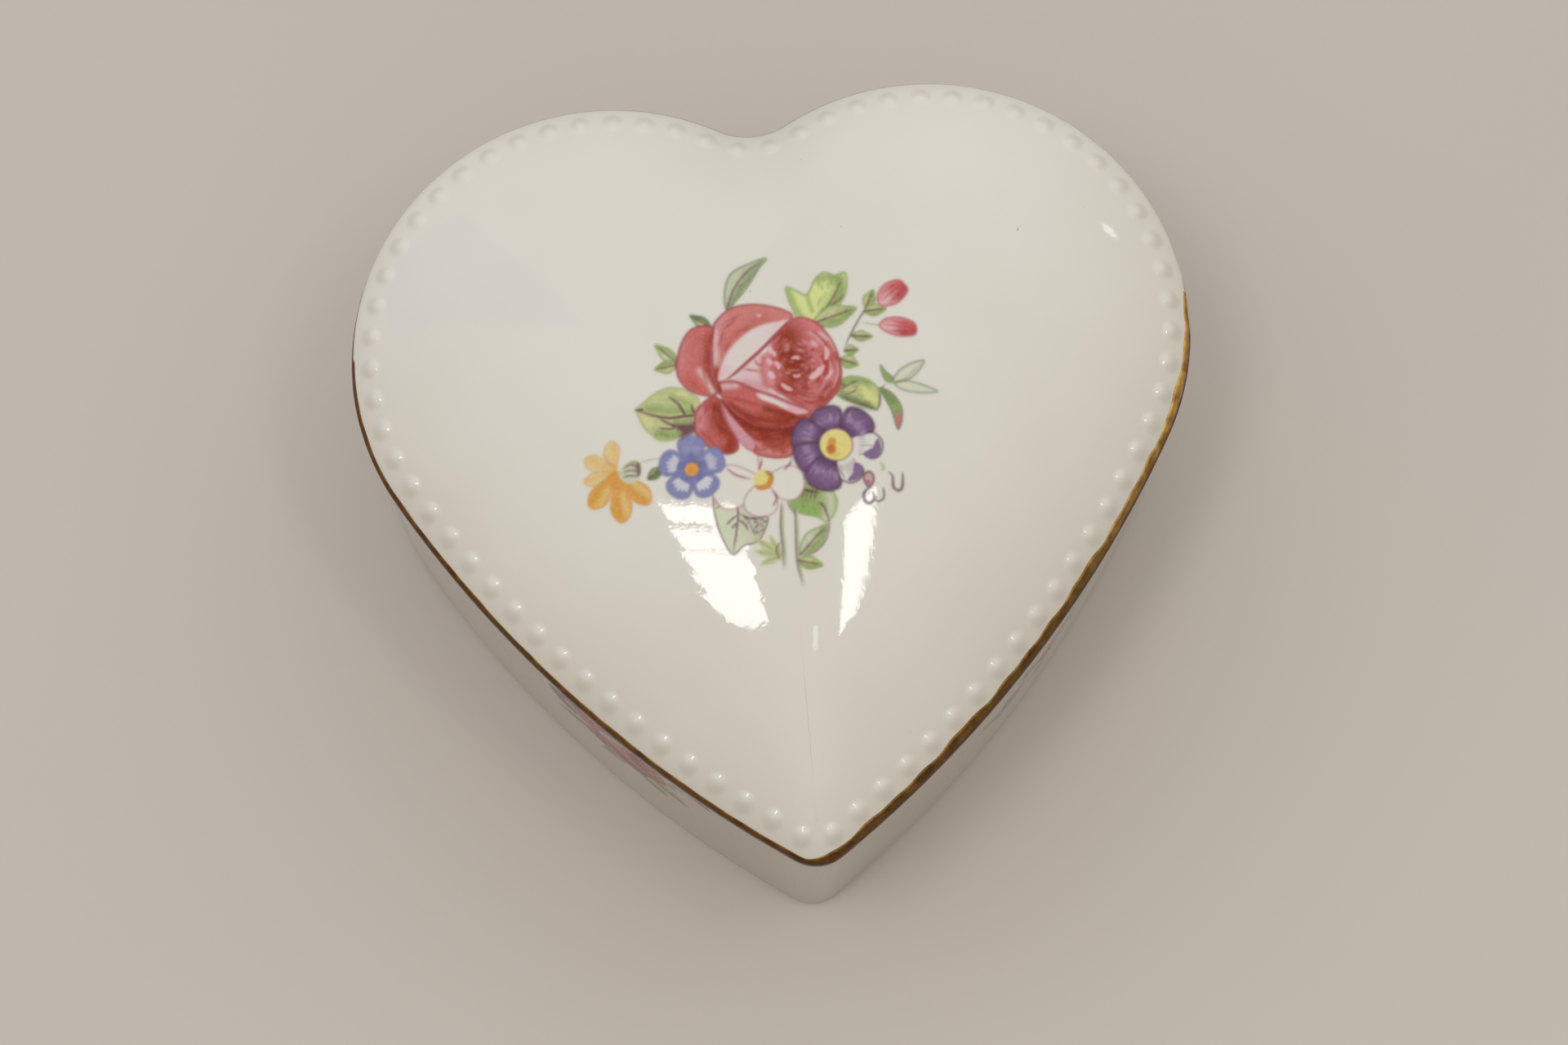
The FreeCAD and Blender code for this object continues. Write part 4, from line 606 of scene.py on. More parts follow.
def rose(canvas):
    """A cabbage rose: outer petals, a pale cupped fold and a tight ball of inner petals."""
    line = (ROSE_LINE, 0.16, 0.75)
    upper, side, fold = (200, 126, 118), (194, 112, 106), (202, 146, 154)
    front, band = (180, 92, 76), (188, 100, 94)
    canvas.fill(
        [(-5.9, 11.9), (-5.2, 13.3), (-3.4, 14.7), (-0.6, 15.1), (2.6, 14.5),
         (4.1, 13.3), (1, 11), (-3, 8), (-5.3, 4.8), (-6, 8)], upper,
        [([(-5.6, 11.5), (-5.5, 9), (-5.6, 7.2)], 0.5, ROSE_PALE, 0.8),
         ([(-5.4, 12.4), (-4.6, 13.4)], 0.6, ROSE_LIGHT, 0.8),
         ([(-4.4, 9.6), (-2.4, 11.6), (0.6, 13)], 0.8, (184, 100, 90), 0.6),
         ([(-5.5, 5.2), (-5.6, 6.2)], 0.8, ROSE_DARK, 0.8)], line)
    canvas.fill(
        [(-5.9, 11.9), (-7.2, 12.2), (-8.8, 11.7), (-10, 9.7), (-10.5, 6.6),
         (-9.6, 4.5), (-7.6, 3.3), (-5.4, 3.3), (-6, 6.2), (-6.2, 9.4)], side,
        [([(-6.2, 10.5), (-6.3, 7.5), (-5.7, 4.5)], 0.9, ROSE_DARK, 0.75),
         ([(-9.6, 9.8), (-9.9, 7)], 0.7, ROSE_LIGHT, 0.45),
         ([(-7.6, 6.4), (-6.6, 4.9), (-5.9, 3.7)], 0.38, ROSE_PALE, 0.95),
         ([(-8.8, 5.2), (-7.6, 4.2)], 0.6, (186, 80, 64), 0.5)], line)
    canvas.fill(
        [(-5.3, 4.6), (-3.4, 5.3), (0.4, 8.8), (1.6, 6.5), (2.6, 3.2), (0, 3.4), (-3, 4.6)], ROSE_PALE,
        [([(-1.8, 4.6), (0.2, 4.3)], 0.7, ROSE_LIGHT, 0.7),
         ([(0.6, 8), (0.4, 6.4), (1, 4.4)], 0.5, ROSE_MID, 0.8)])
    canvas.fill(
        [(3.7, 12.9), (2.1, 12.8), (0.3, 12.4), (-1.6, 11.4), (-3.4, 9.7),
         (-4.6, 7.8), (-5.2, 5.2), (-4.2, 5.3), (-1.8, 7.3), (0.9, 9.7)], PAPER,
        [([(-5, 5.4), (-4.4, 6.4)], 0.8, ROSE_PALE, 0.8),
         ([(2.4, 12.4), (1.6, 11.2)], 0.9, ROSE_PALE, 0.4)], (ROSE_LIGHT, 0.14, 0.5))
    rose_ball(canvas)
    canvas.stroke(
        [(3.8, 12.9), (2.2, 11.3), (0.6, 9.5), (-1.4, 7.6), (-3.2, 5.9), (-4.2, 5.1)], 0.42, ROSE_LINE, 0.9)
    fine = [(-2.2, 6.6), (-1, 6.4), (0.1, 6.2)], [(-0.6, 7.9), (-0.3, 7.2), (0.4, 7.1)]
    canvas.strokes(fine, 0.2, ROSE_LINE, 0.7)
    canvas.fill(
        [(-4.8, 2.6), (-2.1, 0.2), (1.8, -0.9), (6.8, 0.4), (6.2, -1.2), (5, -3.3),
         (3.9, -4.7), (2.2, -5), (0.2, -4.7), (-0.8, -4.1), (-2.4, -1.8), (-4.2, 0.6)], front,
        [([(-4.4, 2), (-2.2, -0.2), (0.6, -1.4), (3.4, -1.6), (5.8, -0.8)], 1.2, ROSE_DEEP, 0.85),
         ([(0.4, -2.4), (2.6, -3)], 0.6, ROSE_DARK, 0.5),
         ([(0, -4.4), (2.2, -4.6), (3.8, -4.2)], 0.5, ROSE_LIGHT, 0.55)], line)
    canvas.fill(
        [(-5.9, 3), (-5, 2.6), (-4.7, 1.1), (-3.9, -0.7), (-2.8, -2.6), (-2.7, -3.9),
         (-4, -4.5), (-5.4, -3.9), (-6.9, -3.2), (-8, -1.6), (-8, 0.8), (-7, 2.3)], ROSE_MID,
        [([(-7.4, 1), (-7.4, -0.8)], 0.8, ROSE_LIGHT, 0.85),
         ([(-5.4, 1.6), (-4.8, -0.8), (-3.6, -2.6), (-3.8, -3.8)], 0.95, ROSE_DARK, 0.9)], line)
    canvas.fill(
        [(-4.8, 2.2), (-3.6, 0.6), (-1.6, -1.7), (-0.5, -2.9), (-0.7, -4), (-1.6, -3.8), (-2.8, -2.4),
         (-4.1, 0)], fold, [([(-4.5, 1.4), (-3.4, 0)], 0.4, ROSE_LIGHT, 0.8)], (ROSE_LINE, 0.12, 0.45))
    canvas.stroke([(-0.6, -2.8), (0.4, -3.6), (1.6, -4.3)], 0.7, ROSE_LIGHT, 0.7)
    canvas.fill(
        [(-5.3, 4.5), (-4.1, 5), (-2.6, 4.8), (-0.4, 3.8), (2.3, 2.9), (5.3, 1.6),
         (6.9, 0.5), (5.6, -0.2), (2.6, -1), (-0.6, -0.6), (-2.8, 0.9), (-4.6, 2.7)], band,
        [([(-4.8, 4.3), (-3, 4.4)], 0.5, ROSE_PALE, 0.8),
         ([(-3.4, 1.8), (-1, 0.2), (2, -0.4), (5, 0.2)], 0.9, ROSE_DARK, 0.9),
         ([(0.8, 1.4), (2.4, 1), (4.4, 0.5)], 0.5, ROSE_DEEP, 0.6),
         ([(-3.4, 3.2), (-1, 2.6)], 0.6, (198, 102, 100), 0.6)], line)
    canvas.fill(
        [(-0.4, 3.4), (1, 3.1), (3.8, 1.9), (6, 1.1), (5.2, 0.7), (3.8, 1), (2, 1.9), (0.2, 2.6)],
        PAPER, [([(3.8, 1.4), (5.8, 1)], 0.5, (216, 160, 170), 0.9)], (ROSE_LIGHT, 0.12, 0.5))
    deep, warm = (ROSE_DARK, ROSE_DEEP), ((200, 112, 108), (206, 124, 126))
    for first, last, count, tones, seed, strength in (
        ([(-6.2, 11.4), (-6.3, 8), (-5.6, 3.8)], [(-9, 11.2), (-9.8, 7), (-7.4, 3.6)],
         9, deep + warm * 2, 21, 0.4),
        ([(-5.5, 9), (-4, 13.2), (2.4, 14.2)], [(-4.8, 8.2), (-2.6, 11.6), (2.6, 13.2)],
         6, deep + warm * 2, 22, 0.4),
        ([(-4.6, 3.4), (-0.6, 2), (3.6, 1), (6, 0.4)],
         [(-3.4, 1.6), (-0.6, -0.2), (2.6, -0.6), (5.4, 0)], 7, deep * 2 + warm, 23, 0.5),
        ([(-1.4, -1.6), (1.6, -1.8), (5.6, -1.2)], [(0.4, -4.2), (2.4, -4.4), (4, -4)],
         7, deep + warm, 24, 0.45),
        ([(-6.8, 2), (-7.6, -0.6), (-6, -3.2)], [(-5.2, 2.2), (-4.6, -1), (-3.4, -3.8)],
         7, deep + warm, 25, 0.45),
    ):
        hatch(canvas, first, last, count, tones, seed, 0.3, strength)
    canvas.stroke([(-5.2, 3.2), (-5, 4), (-5.5, 5)], 0.5, ROSE_DEEP, 0.7)
    # Painted highlight: a small pale dot where a glint sparkles on the upper petal
    canvas.dot((-0.1, 13.6), 0.22, PAPER, 0.7)


def rose_ball(canvas):
    """Inner petals packed in a ball, as broken curved brush lines round its heart."""
    light, rich, warm, pale = (208, 140, 144), (160, 58, 54), (192, 110, 107), (224, 186, 190)
    far_side = [(3.6, 13), (5.6, 13.3), (7.6, 12.3), (9.4, 9.8), (10.3, 6.6), (9.9, 3.9), (8.4, 1.9)]
    near_side = [(6.8, 0.9), (3.8, 2.5), (1.2, 4.4), (0.5, 6.6), (1.2, 9.6)]
    canvas.fill(
        far_side + near_side, warm,
        [([(3.4, 10.6), (3.4, 8.4), (4.6, 6.4)], 1.7, (132, 50, 32), 0.9),
         ([(9.7, 8), (9.8, 5.4), (8.4, 2.8)], 0.8, ROSE_DARK, 0.55),
         ([(6, 12.7), (8.4, 10.9)], 0.7, (208, 122, 126), 0.8),
         ([(2.4, 4.3), (5, 3.2), (7.6, 2.6)], 0.8, ROSE_DARK, 0.55),
         ([(1, 9.4), (0.8, 6.8), (1.4, 4.8)], 0.7, light, 0.8)])
    canvas.stroke(far_side, 0.3, ROSE_LINE, 0.6)
    for outer, inner, count, tones, seed, width, strength in (
        ([(3.6, 12.8), (1.5, 9.8), (0.9, 6.8), (1.7, 4.6)], [(4.6, 9.8), (3.6, 8.8), (3.4, 7.4), (4, 6)],
         9, (ROSE_MID, rich, light, light), 3, 0.36, 0.6),
        ([(6, 12.9), (8.8, 10.4), (9.9, 6.6), (8.6, 2.6)], [(4.4, 9.4), (5.8, 8.4), (6.3, 6.6), (5.4, 5)],
         12, (ROSE_DARK, rich, light, light, ROSE_PALE), 4, 0.42, 0.75),
        ([(1.2, 4.5), (4, 2.7), (7.4, 1.6), (9.7, 4.4)], [(3.2, 6), (4.6, 5), (6.4, 5.2), (7, 6.8)], 8,
         (ROSE_DEEP, ROSE_DARK, rich, light), 5, 0.42, 0.7),
        ([(2.6, 9.4), (4, 9.8), (5.6, 9.4), (7, 9.6)], [(3.2, 6.2), (4.6, 5.8), (5.8, 6.2), (7, 6.4)], 8,
         (ROSE_DEEP, ROSE_DARK, light), 6, 0.4, 0.7),
    ):
        hatch(canvas, outer, inner, count, tones, seed, width, strength)
    for marks, width in (
        ([(6.2, 5.3), (7.2, 6), (8.2, 7.1)], 0.85), ([(8.3, 9.6), (8.5, 8.6), (8.2, 7.7)], 0.6),
        ([(2.7, 4.7), (3.4, 4.1), (4.2, 3.8)], 0.6), ([(1.2, 6.3), (1.5, 5.7), (1.9, 5.3)], 0.75),
        ([(0.9, 9.6), (1.3, 9.1), (1.2, 8.6)], 0.7), ([(1.4, 8.9), (1.8, 8.6), (1.9, 8.1)], 0.5),
        ([(0.9, 7.9), (1.3, 7.5), (1.3, 7)], 0.6), ([(1.8, 7.5), (2.3, 7.1), (2.4, 6.5)], 0.6),
        ([(3.9, 7.9), (4.6, 8.1), (5, 7.8)], 0.45), ([(8.2, 5.2), (8.8, 5.8), (9.2, 6.6)], 0.4),
        ([(4.1, 5.8), (4.7, 5.6), (5.2, 5.8)], 0.35),
    ):
        canvas.stroke(marks, width, pale, 0.85)
    canvas.stroke([(1, 4.6), (2.8, 3.5), (5.2, 2.4), (7, 1.6)], 0.35, (200, 104, 112), 0.6)


def buds(canvas):
    """Two pink buds on a stalk with small leaves."""
    canvas.stroke([(10.6, 9.2), (11.6, 11.4), (13, 13.9), (14.4, 15.4)], 0.26, PURPLE, 0.8)
    canvas.stroke([(12.6, 12.8), (14.4, 12.5), (15.6, 12.4)], 0.2, LEAF_MID, 0.8)
    canvas.stroke([(13.2, 14.4), (15, 14.6)], 0.2, LEAF_LINE, 0.7)
    for base, tip, width in (
        ((13.4, 14.6), (14.4, 17), 1.5), ((13.2, 14.2), (16, 14.6), 1.5),
        ((11.6, 11), (14.2, 10.9), 1.3), ((10.7, 9), (12.4, 9.2), 1.3), ((10.2, 7.9), (12.4, 7.2), 1.7),
    ):
        leaf(canvas, base, tip, width, veins=0, line=PURPLE)
    pink = [
        (-2.1, -0.2), (-1.5, 0.9), (0, 1.45), (1.6, 1.1), (2.1, 0.2), (1.9, -0.9), (0, -1.45), (-1.5, -1),
    ]
    for centre, angle, size in (((16.7, 16.6), 0.6, (1, 1)), ((17.5, 12.3), -0.15, (1.12, 0.85))):
        place = placer(centre, angle, stretch=size)
        canvas.fill(
            place(pink), (206, 142, 142),
            [(place([(0.6, 0.7), (1.6, 0.4)]), 0.6, (200, 100, 102), 0.9),
             (place([(0.7, -0.8), (1.8, -0.3)]), 0.7, (178, 74, 76), 0.9),
             (place([(-1.8, -0.4), (-0.8, -0.2)]), 0.5, (226, 184, 186), 0.8)], ((176, 84, 92), 0.14, 0.6))
        for marks in (
            [(-1.8, -0.2), (0, 0.1), (2, 0.2)], [(-1, -0.9), (0.4, -0.6), (1.9, -0.5)],
            [(-1, 0.8), (0.4, 0.7), (1.7, 0.8)],
        ):
            canvas.stroke(place(marks), 0.2, (170, 72, 80), 0.6)


def side_sprig(canvas):
    """Leaves at the right: one folded leaf, one that hangs, and a pair left as outlines."""
    canvas.stroke([(9.6, 3.4), (12, 4.4), (15, 4.2), (16, 5)], 0.22, LEAF_LINE, 0.8)
    canvas.fill(
        [(9.6, 4.2), (11, 5.6), (13.4, 5.4), (15, 4), (15, 2), (14.3, 1.4), (12, 2.1), (10, 3)], LEAF_LIGHT,
        [([(9.8, 4.6), (11.6, 5.2), (13.6, 4.9)], 0.6, LEAF_MID, 0.9),
         ([(10, 3.2), (12, 2.6), (14, 1.8)], 0.5, LEAF_DARK, 0.7),
         ([(13, 4), (14.4, 2.6)], 0.6, (214, 216, 134), 0.8)], (LEAF_MID, 0.16, 0.8))
    veins = [
        [(9.6, 3.6), (11.2, 4.6), (12.6, 5.2)], [(10.2, 3), (12, 2.3), (14.4, 1.6), (15, 1.3)],
        [(10.4, 3.4), (11.6, 3.6), (12.4, 4.4)], [(15, 3.9), (15.2, 2.6), (14.9, 1.4)],
    ]
    canvas.strokes(veins, 0.2, LEAF_LINE, 0.7)
    hatch(
        canvas, [(9.8, 4.4), (11.4, 5), (13, 5.2)], [(10.2, 3), (12, 2.4), (14.4, 1.8)],
        9, (LEAF_MID, LEAF_DARK, PURPLE), 48, 0.22, 0.5)
    canvas.fill(
        [(15.2, 4.1), (16.6, 3.7), (17.8, 2), (17.9, 0.2), (17.4, -1), (16.9, 0.4), (16.4, 1.8)], LEAF_MID,
        [([(17.6, 0.6), (17.3, -0.9)], 0.5, (206, 112, 118), 0.9),
         ([(15.6, 3.8), (16.8, 2.6)], 0.4, LEAF_DARK, 0.5)], (LEAF_DARK, 0.14, 0.7))
    canvas.fill(
        [(15.2, 7.2), (15.6, 5.6), (16.4, 5), (16.8, 5.6), (15.9, 6.4)],
        LEAF_MID, rim=(LEAF_DARK, 0.14, 0.6))
    canvas.stroke([(15.9, 4.6), (18, 5.4), (19.2, 6.4), (20.6, 8)], 0.2, LEAF_LINE, 0.7)
    canvas.fill(
        [(16.8, 5.2), (17.6, 6.6), (19, 7.5), (20.7, 8), (20, 6.6), (18.6, 5.4)],
        LEAF_PALE, rim=(LEAF_DARK, 0.15, 0.6), strength=0.6)
    canvas.fill(
        [(17, 4.8), (18.4, 5.3), (20.4, 4.9), (22.4, 4.1), (20.6, 3.8), (18.4, 4)],
        LEAF_PALE, rim=(LEAF_DARK, 0.15, 0.55), strength=0.6)


def blue_flower(canvas, centre, radius):
    """Five blue lobes, all but the first nearly bare in the middle."""
    lobe = [
        (0.1, 0.1), (0.5, 0.36), (0.82, 0.42), (1.03, 0.2),
        (1.03, -0.2), (0.82, -0.42), (0.5, -0.36), (0.1, -0.1),
    ]
    centre = np.array(centre, float)
    for i, bare in enumerate((0.15, 0.8, 0.9, 1, 0.6)):
        place = placer(centre, math.radians(93 + 72 * i), radius)
        wash = (place([(0.3, 0), (0.5, 0)]), 0.16 * radius, BLUE_DARK, 0.8)
        canvas.fill(place(lobe), BLUE_MID, [wash], (BLUE_DARK, 0.16, 0.5))
        for spread in (-0.26, -0.13, 0, 0.13, 0.26):
            marks = [(0.46, 0.5 * spread), (0.86 - 0.5 * abs(spread), spread)]
            canvas.stroke(place(marks), 0.62, BLUE_PALE, bare, taper=(0.5, 0.5))
    canvas.dot(centre, 0.3 * radius, BLUE_DARK, 0.7)
    canvas.dot(centre - (0.05, 0.1), 0.22 * radius, (218, 152, 82))
    canvas.stroke(centre + np.array([(0.1, 1.1), (0.9, 0.6), (1, 0)]), 0.5, (112, 112, 110), 0.7)


def violet_flower(canvas, centre):
    """Five dark petals with pale streaks, and two faded ones left bare inside a dark rim."""
    lobe = [
        (0.2, 0.1), (0.5, 0.3), (0.84, 0.4), (1.02, 0.16),
        (1.02, -0.2), (0.84, -0.4), (0.5, -0.3), (0.2, -0.1),
    ]
    centre = np.array(centre, float)
    draw = np.random.default_rng(5)
    for degrees, length in ((108, 4.9), (47, 5.4), (165, 5.4), (207, 5.3), (250, 5.9)):
        place = placer(centre, math.radians(degrees), length)
        inner, outer = [(0.34, -0.2), (0.38, 0.2)], [(0.8, -0.38), (1, -0.1), (0.96, 0.2), (0.8, 0.38)]
        washes = [
            (place(inner), 0.16 * length, VIOLET_DARK, 0.8),
            (place(outer), 0.12 * length, VIOLET_DARK, 0.35),
        ]
        canvas.fill(place(lobe), VIOLET_MID, washes, (VIOLET_DARK, 0.2, 0.7))
        for spread in np.linspace(-0.3, 0.3, 13):
            near, far = draw.uniform(0.5, 0.62), draw.uniform(0.68, 0.88)
            canvas.stroke(
                place([(near, 0.8 * spread), (far, spread)]), 0.17, VIOLET_PALE, draw.uniform(0.15, 0.7))
    for degrees, length, heavy in ((0, 5.7, -1), (298, 5.2, 1)):
        place = placer(centre, math.radians(degrees), length, (1, 0.68 * heavy))
        canvas.wipe(place(lobe))
        rim = [(0.58, -0.36), (0.8, -0.44), (1, -0.2), (1.02, 0.14), (0.9, 0.4), (0.7, 0.42)]
        canvas.stroke(place(rim), 0.28, VIOLET_DARK, 0.8)
        inside = [(0.92, -0.24), (0.9, 0.1), (0.8, 0.28), (0.6, 0.3)]
        canvas.stroke(place(inside), 1.5, VIOLET_MID, 0.95, taper=(0.6, 0.3))
        for spread in np.linspace(-0.3, 0.3, 7):
            streak = [(0.46, spread), (draw.uniform(0.6, 0.9), spread)]
            canvas.stroke(place(streak), 0.2, VIOLET_MID, draw.uniform(0.4, 0.9))
    canvas.dot(centre, 2.2, VIOLET_DARK, 0.7)
    canvas.dot(centre, 2.05, EYE_YELLOW)
    canvas.stroke(centre + np.array([(-1, -1.2), (-0.3, -1.4), (0.6, -1)]), 0.7, (206, 178, 96), 0.6)
    canvas.stroke(centre + np.array([(-0.5, 0.4), (-0.6, -0.3)]), 1, EYE_ORANGE, 0.8, taper=(0, 0))
    canvas.dot(centre + (-0.6, -0.6), 0.6, (182, 104, 54), 0.8)


def white_flower(canvas, centre):
    """Five white petals with a few fine crimson lines."""
    lobe = [
        (0.1, 0.1), (0.5, 0.42), (0.86, 0.4), (1.02, 0.12),
        (1.02, -0.14), (0.86, -0.4), (0.5, -0.42), (0.1, -0.1),
    ]
    centre = np.array(centre, float)
    for degrees, length in ((138, 6), (193, 6.4), (62, 4.6), (352, 5), (265, 4.7)):
        petal = placer(centre, math.radians(degrees), length)(lobe)
        canvas.wipe(petal)
        canvas.fill(petal, PAPER, rim=((176, 130, 140), 0.14, 0.65), strength=0)
    crimson = [
        [(-4.7, 1.6), (-3.4, 0.6), (-1.4, 0)], [(-0.2, 2.8), (-0.3, 1.9), (-0.7, 1.2)],
        [(1.2, -1.4), (1.7, -2.4), (1.2, -3.6)], [(3.6, 2.4), (3, 1.7), (2.6, 1.2)],
    ]
    canvas.strokes(centre + np.array(crimson), 0.32, (164, 92, 102), 0.85)
    canvas.dot(centre, 1.25, EYE_YELLOW)
    canvas.stroke(
        centre + np.array([(0.4, 1), (1, 0.2), (0.6, -0.8), (-0.4, -1.1), (-1, -0.8)]),
        0.75, EYE_ORANGE, 0.9)
    canvas.stroke(centre + np.array([(0.1, 1.1), (0.9, 0.8), (1.2, 0)]), 0.45, (150, 132, 70), 0.75)


def gold_flower(canvas, centre):
    """Three pale petals above and three deep ones below, with a green bud at its side."""
    centre = np.array(centre, float)
    petal = [(0, 0), (0.4, 0.6), (0.75, 1), (1, 0.4), (1.02, -0.4), (0.75, -1), (0.4, -0.6)]
    pale, deep = (GOLD_LIGHT, GOLD_MID, 0.35, 0.8), (GOLD_MID, GOLD_DARK, 0.6, 1)
    for tip, width, style in (
        ((-0.7, 3.7), 2, pale), ((-3.8, 1.6), 2.1, pale), ((-3.8, -1.3), 1.7, pale),
        ((-2.9, -4.4), 2.6, deep), ((1, -6.3), 2.7, deep), ((4.2, -4), 2.5, deep),
    ):
        length = np.hypot(*tip)
        place = placer(centre, direction((0, 0), tip), length, (1, width / 2 / length))
        tone, shade, rim, strength = style
        washes = [
            (place([(0.2, 0), (0.9, -0.3)]), 0.3 * width, shade, 0.6),
            (place([(0.5, 0.3), (0.9, 0.5)]), 0.2 * width, GOLD_LIGHT, 0.6),
        ]
        canvas.fill(place(petal), tone, washes, (GOLD_DARK, 0.14, rim), strength)
    canvas.stroke(centre + np.array([(-1.8, 2.6), (-1, 1.2), (0.4, 0.4)]), 0.3, GOLD_DARK, 0.7)
    canvas.stroke([(-15.4, -5.6), (-13.6, -5), (-11.6, -5)], 0.18, LEAF_MID, 0.6)
    canvas.fill(
        [(-17.6, -6.8), (-16.8, -5.4), (-15.2, -5.2), (-14.8, -6.4), (-15.4, -7.8), (-16.8, -7.9)],
        LEAF_PALE,
        [([(-15.2, -5.6), (-15, -6.8)], 0.4, LEAF_LINE, 0.8),
         ([(-16, -5.2), (-15.2, -5)], 0.4, LEAF_MID, 0.9)])
    for shift in (0, 0.7, 1.4):
        marks = [(-17.2, -6.2 - shift * 0.7), (-16.2, -5.6 - shift), (-15.1, -6 - shift * 0.8)]
        canvas.stroke(marks, 0.2, LEAF_LINE, 0.75)
    leaf(canvas, (-13.9, -7.5), (-12, -6), 1.3, (LEAF_MID, LEAF_DARK), veins=0)


def lower_sprig(canvas):
    """Leaves and bare stalks under the flowers."""
    pale_leaf(canvas)
    shade_leaf(canvas)
    for marks in (
        [(2.8, -10.6), (2.7, -14), (3, -17), (3.1, -19.6)],
        [(4.5, -11.4), (4.6, -15), (4.8, -18.6), (5.6, -22)],
    ):
        canvas.stroke(np.asarray(marks) + (0.24, 0), 0.5, LEAF_PALE, 0.7)
        canvas.stroke(np.asarray(marks) + (0.3, 0), 0.24, LEAF_MID, 0.6)
        canvas.stroke(marks, 0.26, PURPLE, 0.65, taper=(0.1, 0.3))
    canvas.stroke([(8.6, -12.2), (8.8, -14), (8.2, -16), (6.8, -17.4), (5, -18)], 0.24, PURPLE, 0.7)
    leaf(canvas, (5.2, -17.6), (8.6, -13.6), 2.3, (LEAF_PALE, LEAF_MID), veins=2)
    leaf(canvas, (5, -18.4), (8, -19), 1.7, veins=0)
    for tip, width in (((-0.6, -15.4), 0.9), ((-0.4, -17.2), 0.9), ((0.4, -18.9), 0.9), ((1.4, -15.2), 0.7)):
        leaf(canvas, (2.8, -17.8), tip, width, (LEAF_PALE, LEAF_LIGHT), veins=0, line=LEAF_MID)
    canvas.stroke([(2.9, -15.8), (2.2, -17), (2.8, -18.6)], 0.3, LEAF_LINE, 0.5)


def pale_leaf(canvas):
    """A leaf left almost bare, with fine veins and one side hatched dark."""
    canvas.fill(
        [(-5.4, -9), (-2.6, -9.4), (0.2, -12.2), (1.1, -12.7), (1, -13.8), (0, -15.8), (-1.8, -16.5),
         (-3.2, -17.6), (-4.5, -15.6), (-5.5, -12.6), (-5.7, -10.9)], LEAF_PALE,
        [([(-5, -9.2), (-2.8, -9.4)], 0.5, LEAF_MID, 0.8),
         ([(-4.8, -12.4), (-3.8, -15)], 0.7, (200, 208, 176), 0.8)], (PURPLE, 0.12, 0.6), strength=0.95)
    dark = ((122, 96, 104), (112, 98, 100))
    hatch(
        canvas, [(-2, -12.7), (-0.6, -12.8), (1.1, -12.7)],
        [(-0.7, -14.8), (-0.2, -15.2), (0.2, -15.4)], 10, dark, 44, 0.2, 0.8)
    hatch(
        canvas, [(1, -12.8), (0.8, -14), (0.1, -15.4)],
        [(-0.4, -12.9), (-0.6, -13.8), (-0.6, -14.6)], 7, dark, 45, 0.2, 0.8)
    hatch(
        canvas, [(-5.2, -10), (-4, -9.8), (-3, -9.4)],
        [(-5.4, -11), (-4.4, -10.4), (-3.2, -9.8)], 4, (LEAF_MID, PURPLE), 46, 0.2, 0.7)
    veins = [
        [(-3, -9.8), (-2.6, -12.3), (-2.8, -14.8), (-3.2, -17.4)],
        [(-5.5, -11.6), (-4.2, -10.8), (-2.9, -10)], [(-2.6, -12.2), (-0.9, -12.9), (1, -12.6)],
        [(-2.6, -12.4), (-3.4, -13), (-4.1, -13.8)], [(-2.7, -13.4), (-3.4, -14.2)],
        [(-2.7, -12.9), (-1.8, -13.6), (-1.2, -14.6)],
    ]
    canvas.strokes(veins, 0.22, PURPLE, 0.75)


def shade_leaf(canvas):
    """A green leaf below the violet flower, dark where it comes out and pale at its far side."""
    canvas.fill(
        [(3.6, -9.8), (5, -8.4), (7.1, -8.2), (8.9, -8.9), (9.8, -10.5), (9.4, -12.3),
         (8.4, -13.3), (7.3, -12.7), (5, -12.2), (4, -11.2)], (148, 168, 106),
        [([(8.8, -9.6), (9, -11.4), (8.4, -12.8)], 0.8, LEAF_PALE, 0.9),
         ([(5, -11.6), (6.6, -12)], 0.7, (140, 172, 96), 0.9),
         ([(5.4, -8.9), (7.4, -8.8)], 0.4, LEAF_MID, 0.8)], (LEAF_MID, 0.14, 0.5))
    hatch(
        canvas, [(4, -10), (4.6, -11.2), (5.2, -12)],
        [(7.2, -10), (7.2, -11.2), (7.4, -12.4)], 9, (LEAF_MID, LEAF_DARK), 47, 0.2, 0.5)
    for foot in np.linspace(4.4, 7, 6):
        canvas.stroke(
            [(foot + 0.2, -9.1), (foot, -9.8), (foot - 0.1, -10.6)], 0.28, PURPLE, 0.55, taper=(0, 0.8))
    veins = [
        [(3.6, -9.8), (4.8, -9), (6.4, -9.3), (7.8, -9.6)],
        [(3.4, -10.6), (4, -11.6), (4.7, -12.6)], [(7.4, -10.6), (8.2, -11.4), (8.7, -13)],
    ]
    canvas.strokes(veins, 0.26, PURPLE, 0.65)


